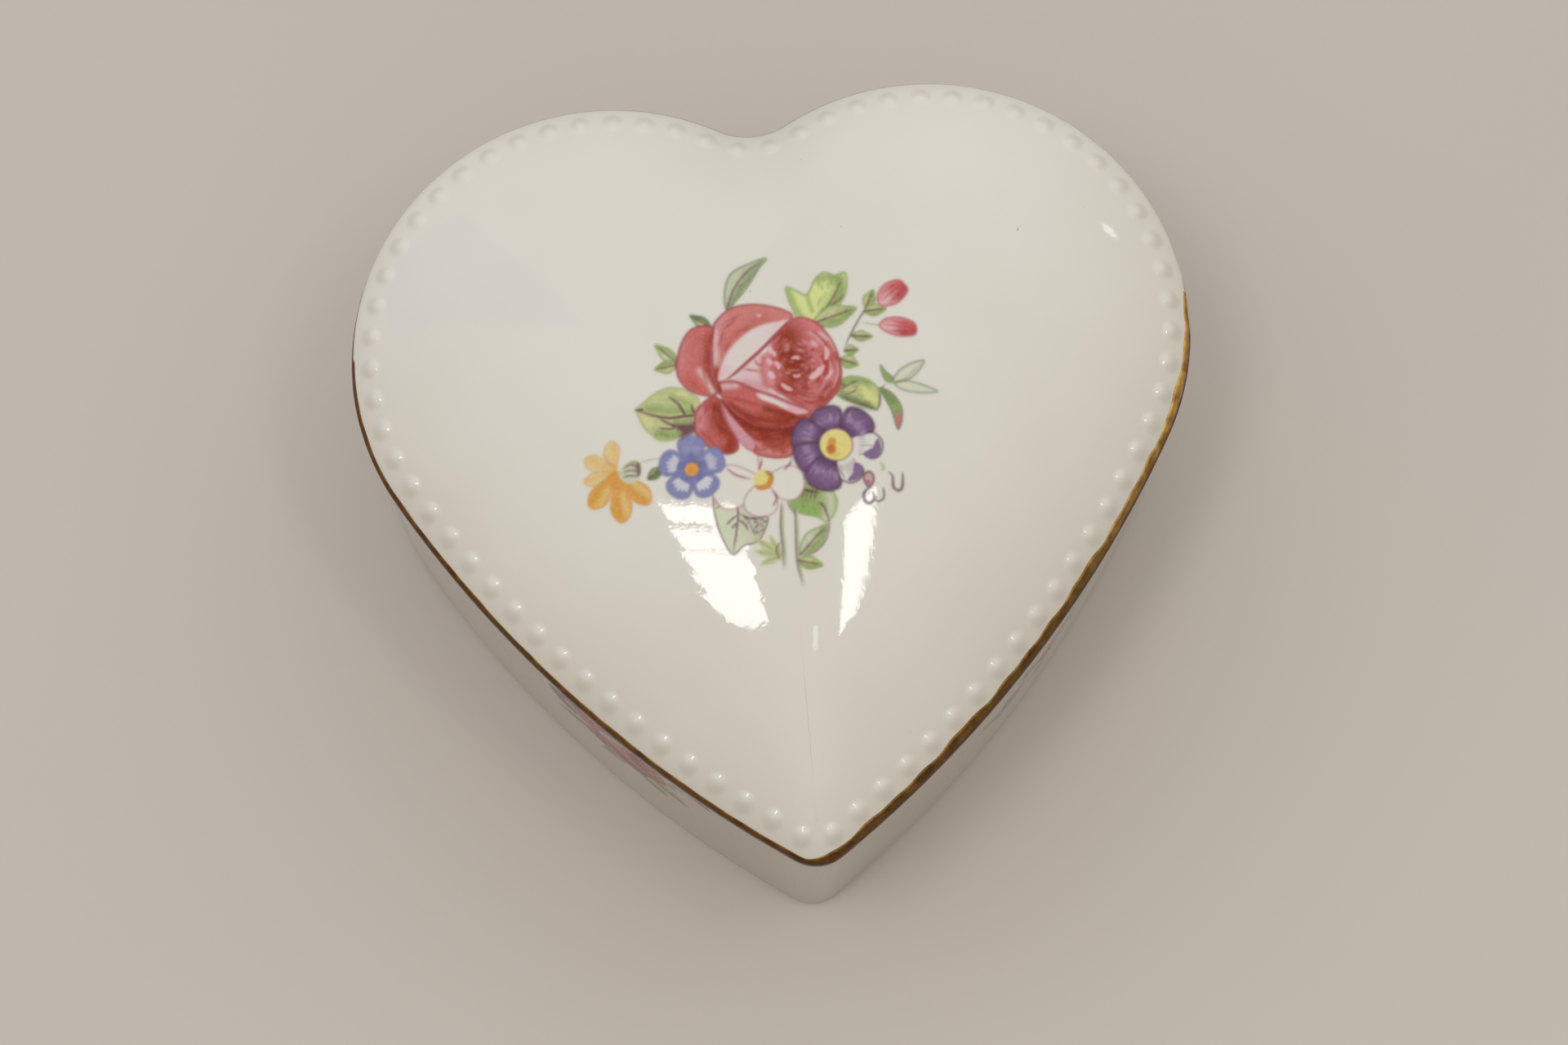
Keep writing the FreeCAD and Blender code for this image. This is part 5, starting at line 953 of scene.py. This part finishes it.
def loose_violets(canvas):
    """A small bud and little unfinished petals beyond the violet flower."""
    canvas.fill(
        [(13.1, -7), (13.7, -6.6), (14.3, -7), (14.3, -7.9), (13.8, -8.6), (13.2, -8)],
        (196, 160, 160), rim=(PURPLE, 0.16, 0.7))
    canvas.stroke([(13.4, -8), (13.9, -7.9)], 0.6, (160, 96, 100), 0.7)
    canvas.stroke([(13.2, -6.9), (13.7, -6.6), (14.2, -6.9)], 0.26, LEAF_DARK, 0.7)
    for marks, width in (
        ([(13.9, -8.5), (13.2, -9.3), (13.2, -10.3), (13.8, -10.7), (14.4, -10.1), (14.2, -9)], 0.5),
        ([(14.3, -10.2), (15, -10.4), (15.6, -9.9), (15.6, -9), (15.5, -8.4)], 0.3),
        ([(16.1, -6.4), (16.7, -7.1), (16.8, -8.4), (17.4, -8.9), (17.9, -8.5), (18, -7.2), (17.9, -6.4)],
         0.42),
    ):
        canvas.stroke(marks, width, VIOLET_DARK, 0.8)
    canvas.stroke([(15, -5.2), (15.6, -6), (15.2, -6.4)], 0.4, LEAF_MID, 0.6)


def left_leaf(canvas):
    """A leaf half under the rose, with dark veins that run together at its base."""
    canvas.fill(
        [(-7.6, 2.4), (-8.2, 3.2), (-9.8, 4.1), (-11.7, 4.2), (-13.5, 3.3), (-14.9, 2.1),
         (-15.6, 1.4), (-15.2, 0.6), (-14.7, -0.6), (-13.6, -1.8), (-12.5, -2.6),
         (-11, -2.6), (-10, -2.1), (-8.6, -1.4), (-7.6, -0.4)], LEAF_LIGHT,
        [([(-8.8, 1.1), (-11, 1.3), (-14, 1.5)], 0.6, LEAF_MID, 0.8),
         ([(-9, 2.2), (-11, 3)], 0.35, LEAF_MID, 0.6),
         ([(-10, -1.7), (-11.4, -1.9), (-12.6, -1.7)], 0.6, LEAF_MID, 0.95),
         ([(-8.6, 0), (-10.6, -0.2)], 0.35, LEAF_MID, 0.9),
         ([(-13.8, -0.4), (-14.6, 0.4)], 0.5, (210, 208, 150), 0.8),
         ([(-10.4, 3.6), (-9.2, 3.2)], 0.4, (214, 210, 156), 0.7)], (LEAF_MID, 0.14, 0.5))
    hatch(
        canvas, [(-9, 0.8), (-11, 0.9), (-14.4, 1.5)],
        [(-9, 3.6), (-11.4, 3.8), (-13.6, 3)], 9, (LEAF_MID, (206, 212, 150)), 41, 0.22, 0.5)
    hatch(
        canvas, [(-10, -1), (-10.4, -1.6), (-10.6, -2.3)],
        [(-13.4, -0.8), (-13.2, -1.4), (-12.8, -2.2)], 9, (LEAF_DARK, LEAF_PALE), 42, 0.22, 0.5)
    canvas.fill(
        [(-7.6, -0.4), (-9.4, -0.5), (-10.9, -0.6), (-10.2, -1.2), (-9.8, -1.7),
         (-10.3, -2.9), (-9.2, -2.4), (-7.6, -1.4)], PURPLE, strength=0.8, soft=0.6)
    for marks, width in (
        ([(-7.9, 0.6), (-9.5, 0.5), (-11.3, 0.3), (-13.5, 0.7), (-15.5, 1.4)], 0.34),
        ([(-9.3, 0.6), (-10, 1.8), (-10.7, 2.5), (-11.6, 3.2)], 0.3),
        ([(-8.1, 0.8), (-8.4, 1.4), (-8.6, 2.2)], 0.34),
        ([(-10.4, -0.9), (-11.6, -0.3), (-12.8, 0.4)], 0.28),
        ([(-10.6, -1.1), (-11.8, -1.1), (-12.9, -0.9)], 0.22),
        ([(-14.6, 1.5), (-15.2, 1.4), (-15.8, 1.5)], 0.34),
    ):
        canvas.stroke(marks, width, PURPLE, 0.75, taper=(0.1, 0.6))


def paint_leaves(canvas):
    lower_sprig(canvas)
    leaf(canvas, (-4.2, 14.4), (0.8, 21.3), 2.7, ((190, 194, 166), (134, 148, 112)), bend=0.12, veins=0)
    canvas.fill(
        [(5.4, 12.6), (4, 14.8), (3.3, 17.3), (4.6, 16.9), (6, 16.4), (7, 18.4), (8.2, 19.3),
         (9.5, 18.9), (10.9, 19.2), (10.9, 16.6), (10, 15), (8.6, 13.6), (7.2, 12.6)], (210, 216, 146),
        [([(9.8, 18.6), (10.2, 16.8), (8.6, 14)], 0.9, LEAF_MID, 0.95),
         ([(7.4, 18.4), (9, 18.8)], 0.6, LEAF_MID, 0.7),
         ([(3.6, 17), (4.4, 15), (5.4, 13.2)], 0.4, LEAF_MID, 0.7),
         ([(6, 16.2), (6.6, 14.2)], 0.3, LEAF_MID, 0.6)], (LEAF_MID, 0.16, 0.8))
    hatch(
        canvas, [(10.6, 18.8), (10.4, 16.6), (8.6, 13.8)],
        [(7.4, 18.2), (7.6, 16), (7, 13.4)], 9, (LEAF_MID, LEAF_DARK), 43, 0.22, 0.45)
    veins = [(7, 12.8), (8.4, 14.6), (9.6, 16.6), (10.6, 18.8)], [(8.6, 14.8), (10, 15.6), (10.7, 16.6)]
    canvas.strokes(veins, 0.2, LEAF_LINE, 0.7)
    leaf(canvas, (6.8, 12.6), (12.2, 14.6), 2.7, veins=2)
    leaf(canvas, (-6.2, 12), (-8.8, 13.6), 1.3, (LEAF_LIGHT, LEAF_DARK), veins=0)
    leaf(canvas, (-10.4, 7.4), (-13.2, 9.8), 1.5, (LEAF_PALE, LEAF_MID), veins=0)
    leaf(canvas, (-10.4, 7.2), (-13.2, 6.6), 1.6, veins=0)
    left_leaf(canvas)
    side_sprig(canvas)
    buds(canvas)


def paint_spray():
    canvas = Canvas(SPRAY_LOW, SPRAY_HIGH, PAINT_PITCH)
    paint_leaves(canvas)
    gold_flower(canvas, (-18, -6.4))
    white_flower(canvas, (0.5, -7.8))
    rose(canvas)
    blue_flower(canvas, (-8.4, -6.3), 4)
    violet_flower(canvas, (9.6, -3.2))
    loose_violets(canvas)
    fire(canvas, 31)
    return canvas


def paint_left_sprig():
    """A small rose with a violet, leaves and buds."""
    canvas = Canvas((-17, -12), (20, 18.4), WALL_PITCH)
    for base, tip, width in (
        ((-6, 1), (-15, -4), 5), ((0, -3), (-5, -10), 4.6), ((4, -3), (10, -9), 4.6),
        ((6, 1), (15, -3), 4.8), ((7, 11), (12, 17), 4), ((-9, 12), (-14, 17), 4),
    ):
        leaf(canvas, base, tip, width, bend=0.08)
    buds(canvas)
    violet_flower(canvas, (-10.9, 8))
    rose(canvas)
    fire(canvas, 32)
    return canvas


def paint_right_sprig():
    """A violet and a blue flower with leaves."""
    canvas = Canvas((-16, -17), (22, 10), WALL_PITCH)
    for base, tip, width in (((2, -3), (-3, 7), 4.6), ((2, -8), (4, -16), 4.6), ((12, 0), (19, 6), 4.4)):
        leaf(canvas, base, tip, width, bend=0.08)
    leaf(canvas, (-11, -4), (-15, 2), 2.6)
    blue_flower(canvas, (-6.4, -5.3), 4.6)
    violet_flower(canvas, (7.6, -3.2))
    loose_violets(canvas)
    fire(canvas, 33)
    return canvas


# Films that carry the drawings

def on_lid(u, v, lift):
    """Points of the lid's top for places on the spray's sheet."""
    c, s = SPRAY_SIZE * math.cos(SPRAY_TURN), SPRAY_SIZE * math.sin(SPRAY_TURN)
    x, y = SPRAY_PLACE[0] + c * u - s * v, SPRAY_PLACE[1] + s * u + c * v + SPRAY_BEND * v ** 2
    return np.column_stack([x, y, smooth_top(x, y) + lift])


def on_wall(x, y, height):
    """Maps from a sheet to the box's wall and to the way it faces, its middle near (x, y, height)."""
    line = closed(OUTLINE) * WALL_SCALE
    run = run_of(line)
    middle = run[np.argmin(np.hypot(line[:, 0] - x, line[:, 1] - y))]
    mesh = frame["nodes"]["base_box"].data
    corners = [corner.co for corner in mesh.vertices]
    wall = BVHTree.FromPolygons(corners, [face.vertices for face in mesh.polygons])

    def place(u, v, lift):
        flat = at_runs(middle - WALL_SIZE * u, run, line)
        points = []
        for point in np.column_stack([flat, height + WALL_SIZE * v]):
            nearest, normal, _, _ = wall.find_nearest(Vector(point * MM))
            points.append(nearest / MM + lift * normal)
        return np.array(points)

    def facing(u):
        return level(at_runs(middle - WALL_SIZE * u, run, closed(NORMALS)), 0)

    return place, facing


# Shares of the baking map
PAINTED_SHARE, REST_START, REST_SHARE = 0.88, 0.9, 0.08


def bake_map(mesh, u, v, faces, top_count):
    """Lays the painted side flat over most of the map, and everything else in its corner."""
    flat = np.column_stack([(u - u.min()) / np.ptp(u), (v - v.min()) / np.ptp(v)])
    corners = flat[np.ravel(faces) % len(u)]
    painted = np.repeat(np.arange(len(faces)) < top_count, 4)[:, None]
    places = np.where(painted, PAINTED_SHARE * corners, REST_START + REST_SHARE * corners)
    mesh.uv_layers.new(name="OFBake").data.foreach_set("uv", places.ravel())


def joined_cells(canvas, wanted):
    """Wanted cells with paint at a corner, without those that touch others only corner to corner."""
    shown = canvas.cover > LEAST_COVER
    cells = (shown[:-1, :-1] | shown[:-1, 1:] | shown[1:, :-1] | shown[1:, 1:]) & wanted
    for _ in range(3):
        rising = cells[:-1, :-1] & cells[1:, 1:] & ~cells[:-1, 1:] & ~cells[1:, :-1]
        cells[:-1, :-1] &= ~rising
        falling = cells[:-1, 1:] & cells[1:, :-1] & ~cells[:-1, :-1] & ~cells[1:, 1:]
        cells[:-1, 1:] &= ~falling
    return cells


def sheet_faces(quads, count):
    """Faces of a closed sheet: the quads, the same quads below, and walls along their border."""
    sides = np.stack([quads, np.roll(quads, -1, axis=1)], axis=-1).reshape(-1, 2)
    border = sides[~np.isin(sides @ (count, 1), sides @ (1, count))]
    walls = np.column_stack([border[:, 1], border[:, 0], border[:, 0] + count, border[:, 1] + count])
    return np.vstack([quads, quads[:, ::-1] + count, walls]).tolist()


def film(name, canvas, wanted, place, lift, body, material, facing=None):
    """A thin closed sheet over painted cells; place maps (u, v, lift) to points, and facing u to normals."""
    rows, columns = np.nonzero(joined_cells(canvas, wanted))
    across = canvas.u.shape[1]
    corner = rows * across + columns
    quads = np.column_stack([corner, corner + 1, corner + across + 1, corner + across])
    used, index = np.unique(quads, return_inverse=True)
    quads = index.reshape(-1, 4)
    u, v = canvas.u.ravel()[used], canvas.v.ravel()[used]
    faces = sheet_faces(quads, len(used))
    points = np.vstack([place(u, v, lift), place(u, v, -2 * lift)])
    piece = new_piece(name, points, faces, material)
    piece.data.set_sharp_from_angle(angle=SHARP_EDGE)
    if facing:
        normals = np.vstack([facing(u), -facing(u)])
        piece.data.normals_split_custom_set_from_vertices(normals.tolist())
    enamel = linear(canvas.paint.reshape(-1, 3)[used].clip(0, 255)) - ENAMEL_GLOSS
    tones = np.column_stack([enamel.clip(0), canvas.cover.ravel()[used]])
    colours = piece.data.color_attributes.new("enamel", "FLOAT_COLOR", "POINT")
    colours.data.foreach_set("color", np.tile(tones, (2, 1)).ravel())
    bake_map(piece.data, u, v, faces, len(quads))
    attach(piece, body)


def make_transfers(material):
    spray = paint_spray()
    middle_u = (spray.u[:-1, :-1] + spray.u[1:, 1:]) / 2
    middle_v = (spray.v[:-1, :-1] + spray.v[1:, 1:]) / 2
    in_rose = depth_in(middle_u, middle_v, curve(ROSE_OUTLINE)) > 0
    film("rose_transfer", spray, in_rose, on_lid, LID_LIFT, "lid", material)
    film("sprig_transfer", spray, ~in_rose, on_lid, LID_LIFT, "lid", material)
    for name, sheet, middle in (
        ("left_wall_transfer", paint_left_sprig(), LEFT_WALL_PLACE),
        ("right_wall_transfer", paint_right_sprig(), RIGHT_WALL_PLACE),
    ):
        place, facing = on_wall(*middle)
        film(name, sheet, True, place, WALL_LIFT, "box", material, facing)


# Materials

def new_material(name):
    material = bpy.data.materials.new(name)
    material.use_nodes = True
    tree = material.node_tree
    return material, tree, tree.nodes["Principled BSDF"]


def node(tree, kind, **inputs):
    made = tree.nodes.new(kind)
    for name, value in inputs.items():
        made.inputs[name.replace("_", " ")].default_value = value
    return made


def noise(tree, scale, detail=3.0, stretch=(1, 1, 1)):
    """Noise in the object's own place, with a scale in features per metre."""
    place = tree.nodes.new("ShaderNodeTexCoord")
    mapping = node(tree, "ShaderNodeMapping", Scale=stretch)
    made = node(tree, "ShaderNodeTexNoise", Scale=scale, Detail=detail)
    tree.links.new(place.outputs["Object"], mapping.inputs["Vector"])
    tree.links.new(mapping.outputs["Vector"], made.inputs["Vector"])
    return made.outputs["Fac"]


def ramp(tree, factor, *stops):
    """A colour ramp of (place, colour) stops, the colours as 0 to 255 or one grey from 0 to 1."""
    made = tree.nodes.new("ShaderNodeValToRGB")
    elements = made.color_ramp.elements
    while len(elements) < len(stops):
        elements.new(0.5)
    for element, (place, colour) in zip(elements, stops):
        element.position = place
        rgb = linear(colour) if isinstance(colour, tuple) else (colour,) * 3
        element.color = (*rgb, 1)
    tree.links.new(factor, made.inputs["Fac"])
    return made.outputs["Color"]


def mix(tree, factor, first, second):
    """One colour passing to another by a factor."""
    made = tree.nodes.new("ShaderNodeMix")
    made.data_type = "RGBA"
    tree.links.new(factor, made.inputs["Factor"])
    tree.links.new(first, made.inputs["A"])
    tree.links.new(second, made.inputs["B"])
    return made.outputs["Result"]


def combine(tree, operation, first, second):
    """One factor from two, by an operation of the math node."""
    made = tree.nodes.new("ShaderNodeMath")
    made.operation = operation
    tree.links.new(first, made.inputs[0])
    tree.links.new(second, made.inputs[1])
    return made.outputs["Value"]


def surface(tree, shader, colour, rough):
    tree.links.new(colour, shader.inputs["Base Color"])
    tree.links.new(rough, shader.inputs["Roughness"])


def bump(tree, height, strength, distance, shader):
    made = node(tree, "ShaderNodeBump", Strength=strength, Distance=distance * MM)
    tree.links.new(height, made.inputs["Height"])
    tree.links.new(made.outputs["Normal"], shader.inputs["Normal"])


def china(name, enamelled=False):
    """Ivory glaze with faint clouds and specks, under the drawing's duller enamel where there is one."""
    material, tree, shader = new_material(name)
    colour = ramp(tree, noise(tree, 28, 4), (0.3, (215, 211, 198)), (0.7, (221, 218, 206)))
    speck = ramp(tree, noise(tree, 600, 1), (0.83, 0.0), (0.85, 0.5))
    brown = ramp(tree, noise(tree, 50), (0.4, (150, 130, 100)), (0.6, (170, 150, 120)))
    colour = mix(tree, speck, colour, brown)
    if enamelled:
        drawn = tree.nodes.new("ShaderNodeVertexColor")
        drawn.layer_name = "enamel"
        colour = mix(tree, drawn.outputs["Alpha"], colour, drawn.outputs["Color"])
        dulled = ramp(tree, drawn.outputs["Alpha"], (0.2, 0.5), (0.9, 0.05))
        tree.links.new(dulled, shader.inputs["Specular IOR Level"])
    surface(tree, shader, colour, ramp(tree, noise(tree, 90), (0.3, 0.025), (0.7, 0.055)))
    bump(tree, noise(tree, 900, 2), 0.06, 0.1, shader)
    return material


def gilt():
    """Mottled, worn gold with painted light: bronze on top, a painted gleam of bright gold towards the right
    and back, and painted shade in brown down the edge's face.
    """
    material, tree, shader = new_material("worn_gilt_with_painted_light")
    shader.inputs["Metallic"].default_value = 0.85
    place = tree.nodes.new("ShaderNodeTexCoord")
    split = tree.nodes.new("ShaderNodeSeparateXYZ")
    tree.links.new(place.outputs["Object"], split.inputs["Vector"])

    def between(axis, low, high):
        """0 to 1 across a span of heights or places, in millimetres."""
        made = node(tree, "ShaderNodeMapRange", From_Min=low * MM, From_Max=high * MM)
        tree.links.new(split.outputs[axis], made.inputs["Value"])
        return made.outputs["Result"]

    # Painted gleam: a mask that turns the top from bronze to bright gold towards the right and back
    rightward = between("X", 0, 0.5 * HALF_WIDTH)
    backward = between("Y", -0.5 * HALF_LENGTH, 0.1 * HALF_LENGTH)
    painted_gleam_share = combine(tree, "MULTIPLY", rightward, backward)
    # Brown is painted shade for the edge's lower face, and gold is the painted gleam; all three tones are
    # mottled
    brown = ramp(tree, noise(tree, 700, 6), (0.35, (70, 44, 18)), (0.65, (104, 68, 30)))
    bronze = ramp(tree, noise(tree, 500, 6), (0.35, (92, 64, 28)), (0.65, (134, 98, 48)))
    gold = ramp(tree, noise(tree, 500, 6), (0.35, (156, 118, 58)), (0.65, (214, 174, 98)))
    # Painted shade: the edge passes from its bronze or gold top to brown lower down its face
    upper = ramp(tree, between("Z", EDGE_TOP - 0.5, EDGE_TOP + 0.9), (0.35, 0.0), (0.75, 1.0))
    colour = mix(tree, upper, brown, mix(tree, painted_gleam_share, bronze, gold))
    surface(tree, shader, colour, ramp(tree, noise(tree, 900), (0.3, 0.3), (0.7, 0.5)))
    bump(tree, noise(tree, 1500, 4), 0.4, 0.1, shader)
    return material


def metal(name, dark, light, rough, grain=600, stretch=(1, 1, 1), relief=0.15):
    material, tree, shader = new_material(name)
    shader.inputs["Metallic"].default_value = 1
    tone = noise(tree, grain, 4, stretch)
    colour = ramp(tree, tone, (0.3, dark), (0.7, light))
    surface(tree, shader, colour, ramp(tree, noise(tree, 250), (0.3, 0.75 * rough), (0.7, 1.25 * rough)))
    bump(tree, tone, relief, 0.05, shader)
    return material


def moulded(name, dark, light, rough, relief=0.1):
    """Plastic, rubber or fibre."""
    material, tree, shader = new_material(name)
    colour = ramp(tree, noise(tree, 120, 4), (0.3, dark), (0.7, light))
    surface(tree, shader, colour, ramp(tree, noise(tree, 300), (0.3, 0.8 * rough), (0.7, 1.2 * rough)))
    bump(tree, noise(tree, 1800, 2), relief, 0.05, shader)
    return material


def clear():
    """Clear moulded sheet, a little scuffed."""
    material, tree, shader = new_material("clear_sheet")
    colour = ramp(tree, noise(tree, 40), (0.3, (238, 242, 244)), (0.7, (246, 248, 248)))
    surface(tree, shader, colour, ramp(tree, noise(tree, 500, 5), (0.35, 0.01), (0.75, 0.04)))
    shader.inputs["Transmission Weight"].default_value = 1
    shader.inputs["Alpha"].default_value = 0.2
    shader.inputs["IOR"].default_value = 1.49
    return material


def slot_materials(glaze):
    """One material for each of the record's slots."""
    along_x = (0.06, 1, 1)
    return {
        "china": glaze,
        "clear_plastic": clear(),
        "cast_zinc": metal("cast_zinc", (142, 142, 138), (176, 175, 170), 0.5, 900, relief=0.4),
        "steel": metal("plain_steel", (150, 149, 146), (190, 189, 186), 0.3, 700, along_x),
        "blue_steel": metal("blued_steel", (52, 60, 88), (84, 96, 128), 0.28, 500),
        "comb_steel": metal("ground_steel", (160, 160, 158), (204, 203, 200), 0.26, 1400, along_x),
        "brass": metal("plain_brass", (190, 156, 92), (208, 176, 110), 0.26, 1200),
        "nickel": metal("nickel_plate", (176, 170, 158), (210, 204, 192), 0.2, 400, relief=0.05),
        "white_plastic": moulded("white_plastic", (214, 211, 200), (224, 221, 211), 0.4),
        "black_plastic": moulded("black_plastic", (24, 24, 25), (36, 36, 37), 0.4),
        "black_rubber": moulded("black_rubber", (26, 26, 26), (40, 39, 38), 0.7, 0.4),
        "red_fibre": moulded("red_fibre", (112, 40, 30), (138, 54, 40), 0.6, 0.4),
    }


def dress_nodes(materials):
    """Gives each carried-over CAD node the material of its slot."""
    for part in frame["record"]["subparts"]:
        mesh = frame["nodes"][part["node"]].data
        mesh.materials.clear()
        mesh.materials.append(materials[part["material_slot"]])


# Spring round the stop rod

SPRING_WIRE = 0.2
SPRING_TURNS = 5
WIRE_SIDES = 8
STEPS_PER_TURN = 24


def make_spring(material):
    """A round-wire helix between the guide and the stop rod's arm."""
    low, high = (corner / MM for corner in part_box("stop_spring"))
    centre = (low + high) / 2
    radius = (high.x - low.x) / 2 - SPRING_WIRE
    count = SPRING_TURNS * STEPS_PER_TURN + 1
    turn = np.linspace(0, 2 * math.pi * SPRING_TURNS, count)
    climb = np.linspace(low.z + SPRING_WIRE, high.z - SPRING_WIRE, count)
    around = np.linspace(0, 2 * math.pi, WIRE_SIDES, endpoint=False)
    rings = []
    for angle, height in zip(turn, climb):
        out = radius + SPRING_WIRE * np.cos(around)
        x, y = centre.x + out * math.cos(angle), centre.y + out * math.sin(angle)
        rings.append(np.column_stack([x, y, height + SPRING_WIRE * np.sin(around)]))
    last = (count - 1) * WIRE_SIDES
    faces = grid_faces(count, WIRE_SIDES)
    faces += [list(range(WIRE_SIDES)), list(range(last + WIRE_SIDES - 1, last - 1, -1))]
    piece = new_piece("lift_spring", np.vstack(rings), faces, material)
    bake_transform(piece)
    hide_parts("stop_spring")


# Stage: the camera is fitted to the photo

CAMERA_ELEVATION = math.radians(77.02)
CAMERA_AZIMUTH = math.radians(-5.94)
CAMERA_ROLL = math.radians(0.82)
CAMERA_TARGET = Vector((-0.51, -6.54, BOX_RIM + 0.9))
CAMERA_DISTANCE = 476.0
FOCAL_PIXELS = 4492.0
IMAGE_WIDTH = 1920
SENSOR_WIDTH = 36.0

FLOOR_HALF = 2500.0
ROOM_AXIS = (0.0, 0.46, 0.89)
ROOM_LOW, ROOM_HIGH = (162, 145, 127), (244, 245, 246)

# Ceiling lights and window, in metres; a light has a place, a size, a turn and a lean in degrees, a glow,
# and the shares of its strips that slats leave open
PANEL_HEIGHT = 1.5
PANELS = {
    "panel_left": ((-0.395, -0.135), (0.32, 0.41), 19, 11, 10, (1.0, 0.95, 0.88, 0.76, 0.62)),
    "panel_right": ((0.468, -0.16), (0.12, 0.44), 22, 0, 10, (1.0,)),
    "panel_far": ((0.175, -0.33), (0.07, 0.09), 0, 0, 3, (1.0,)),
    "panel_back": ((1.88, 1.52), (0.2, 0.12), 0, 0, 5, (1.0,)),
}
WINDOW_CORNER, WINDOW_SIDE, WINDOW_DEPTH = (-0.53, 0.85), (-1.7, 0.3), (-0.9, 1.5)


def make_camera():
    azimuth, elevation = CAMERA_AZIMUTH, CAMERA_ELEVATION
    flat = math.cos(elevation)
    back = Vector((math.sin(azimuth) * flat, -math.cos(azimuth) * flat, math.sin(elevation)))
    right = Vector((math.cos(azimuth), math.sin(azimuth), 0))
    up = back.cross(right)
    rolled = math.cos(CAMERA_ROLL) * right + math.sin(CAMERA_ROLL) * up
    data = bpy.data.cameras.new("photo_camera")
    data.sensor_width = SENSOR_WIDTH
    data.lens = FOCAL_PIXELS * SENSOR_WIDTH / IMAGE_WIDTH
    camera = bpy.data.objects.new("photo_camera", data)
    axes = Matrix((rolled, back.cross(rolled), back)).transposed()
    camera.matrix_world = Matrix.Translation((CAMERA_TARGET + CAMERA_DISTANCE * back) * MM) @ axes.to_4x4()
    bpy.context.scene.collection.objects.link(camera)
    bpy.context.scene.camera = camera


def make_panel(name, place, size, turn, lean, glow, shares):
    """A ceiling light, in turned strips along a leaning line where slats cover a share of it."""
    length = size[1] / len(shares)
    lean = math.radians(lean)
    for strip, share in enumerate(shares):
        along = (strip - (len(shares) - 1) / 2) * length
        data = bpy.data.lights.new(f"{name}_{strip}", "AREA")
        data.shape = "RECTANGLE"
        data.size, data.size_y = size[0], share * length
        data.energy = glow * math.pi * data.size * data.size_y
        lamp = bpy.data.objects.new(data.name, data)
        lamp.location = (place[0] + along * math.sin(lean), place[1] + along * math.cos(lean), PANEL_HEIGHT)
        lamp.rotation_euler = (0, 0, math.radians(turn))
        bpy.context.scene.collection.objects.link(lamp)


def floor_material():
    """Pale where seen, also in gloss and through glass, and dark like a table in the light it sends back."""
    material, tree, shader = new_material("pale_floor")
    tone = ramp(tree, noise(tree, 3), (0.3, (194, 186, 176)), (0.7, (200, 192, 182)))
    wood = ramp(tree, noise(tree, 4), (0.3, (84, 60, 48)), (0.7, (98, 72, 58)))
    path = tree.nodes.new("ShaderNodeLightPath")
    seen = path.outputs["Is Camera Ray"]
    for ray in ("Is Glossy Ray", "Is Transmission Ray"):
        seen = combine(tree, "MAXIMUM", seen, path.outputs[ray])
    tree.links.new(mix(tree, seen, wood, tone), shader.inputs["Base Color"])
    shader.inputs["Roughness"].default_value = 0.8
    return material


def make_room():
    """Soft light from above and behind that fades and warms towards the front."""
    world = bpy.data.worlds.new("soft_room")
    world.use_nodes = True
    tree = world.node_tree
    place = tree.nodes.new("ShaderNodeTexCoord")
    toward = tree.nodes.new("ShaderNodeVectorMath")
    toward.operation = "DOT_PRODUCT"
    toward.inputs[1].default_value = ROOM_AXIS
    tree.links.new(place.outputs["Generated"], toward.inputs[0])
    fade = ramp(tree, toward.outputs["Value"], (0.0, ROOM_LOW), (0.8, ROOM_HIGH))
    tree.links.new(fade, tree.nodes["Background"].inputs["Color"])
    bpy.context.scene.world = world


def make_window():
    """A bluish pane beside the ceiling lights, which shows as a soft patch in the glaze."""
    corner, side, depth = (np.array(run) / MM for run in (WINDOW_CORNER, WINDOW_SIDE, WINDOW_DEPTH))
    material, tree, shader = new_material("window_pane")
    glow = ramp(tree, noise(tree, 2), (0.3, (176, 184, 255)), (0.7, (188, 194, 255)))
    tree.links.new(glow, shader.inputs["Emission Color"])
    shader.inputs["Emission Strength"].default_value = 1
    shader.inputs["Base Color"].default_value = (0, 0, 0, 1)
    corners = [corner, corner + side, corner + side + depth, corner + depth]
    height = PANEL_HEIGHT / MM
    new_piece("window", [(*place, height) for place in corners], [[0, 1, 2, 3]], material)


def make_stage():
    corners = [(x * FLOOR_HALF, y * FLOOR_HALF, 0) for x, y in ((-1, -1), (1, -1), (1, 1), (-1, 1))]
    new_piece("floor", corners, [[0, 1, 2, 3]], floor_material())
    make_room()
    for name, light in PANELS.items():
        make_panel(name, *light)
    make_window()
    bpy.context.scene.view_settings.view_transform = "Standard"


GLAZE = china("ivory_china")
SLOTS = slot_materials(GLAZE)
dress_nodes(SLOTS)
make_lid(GLAZE)
make_gilt(gilt())
make_transfers(china("enamelled_china", enamelled=True))
make_spring(SLOTS["steel"])
make_camera()
make_stage()
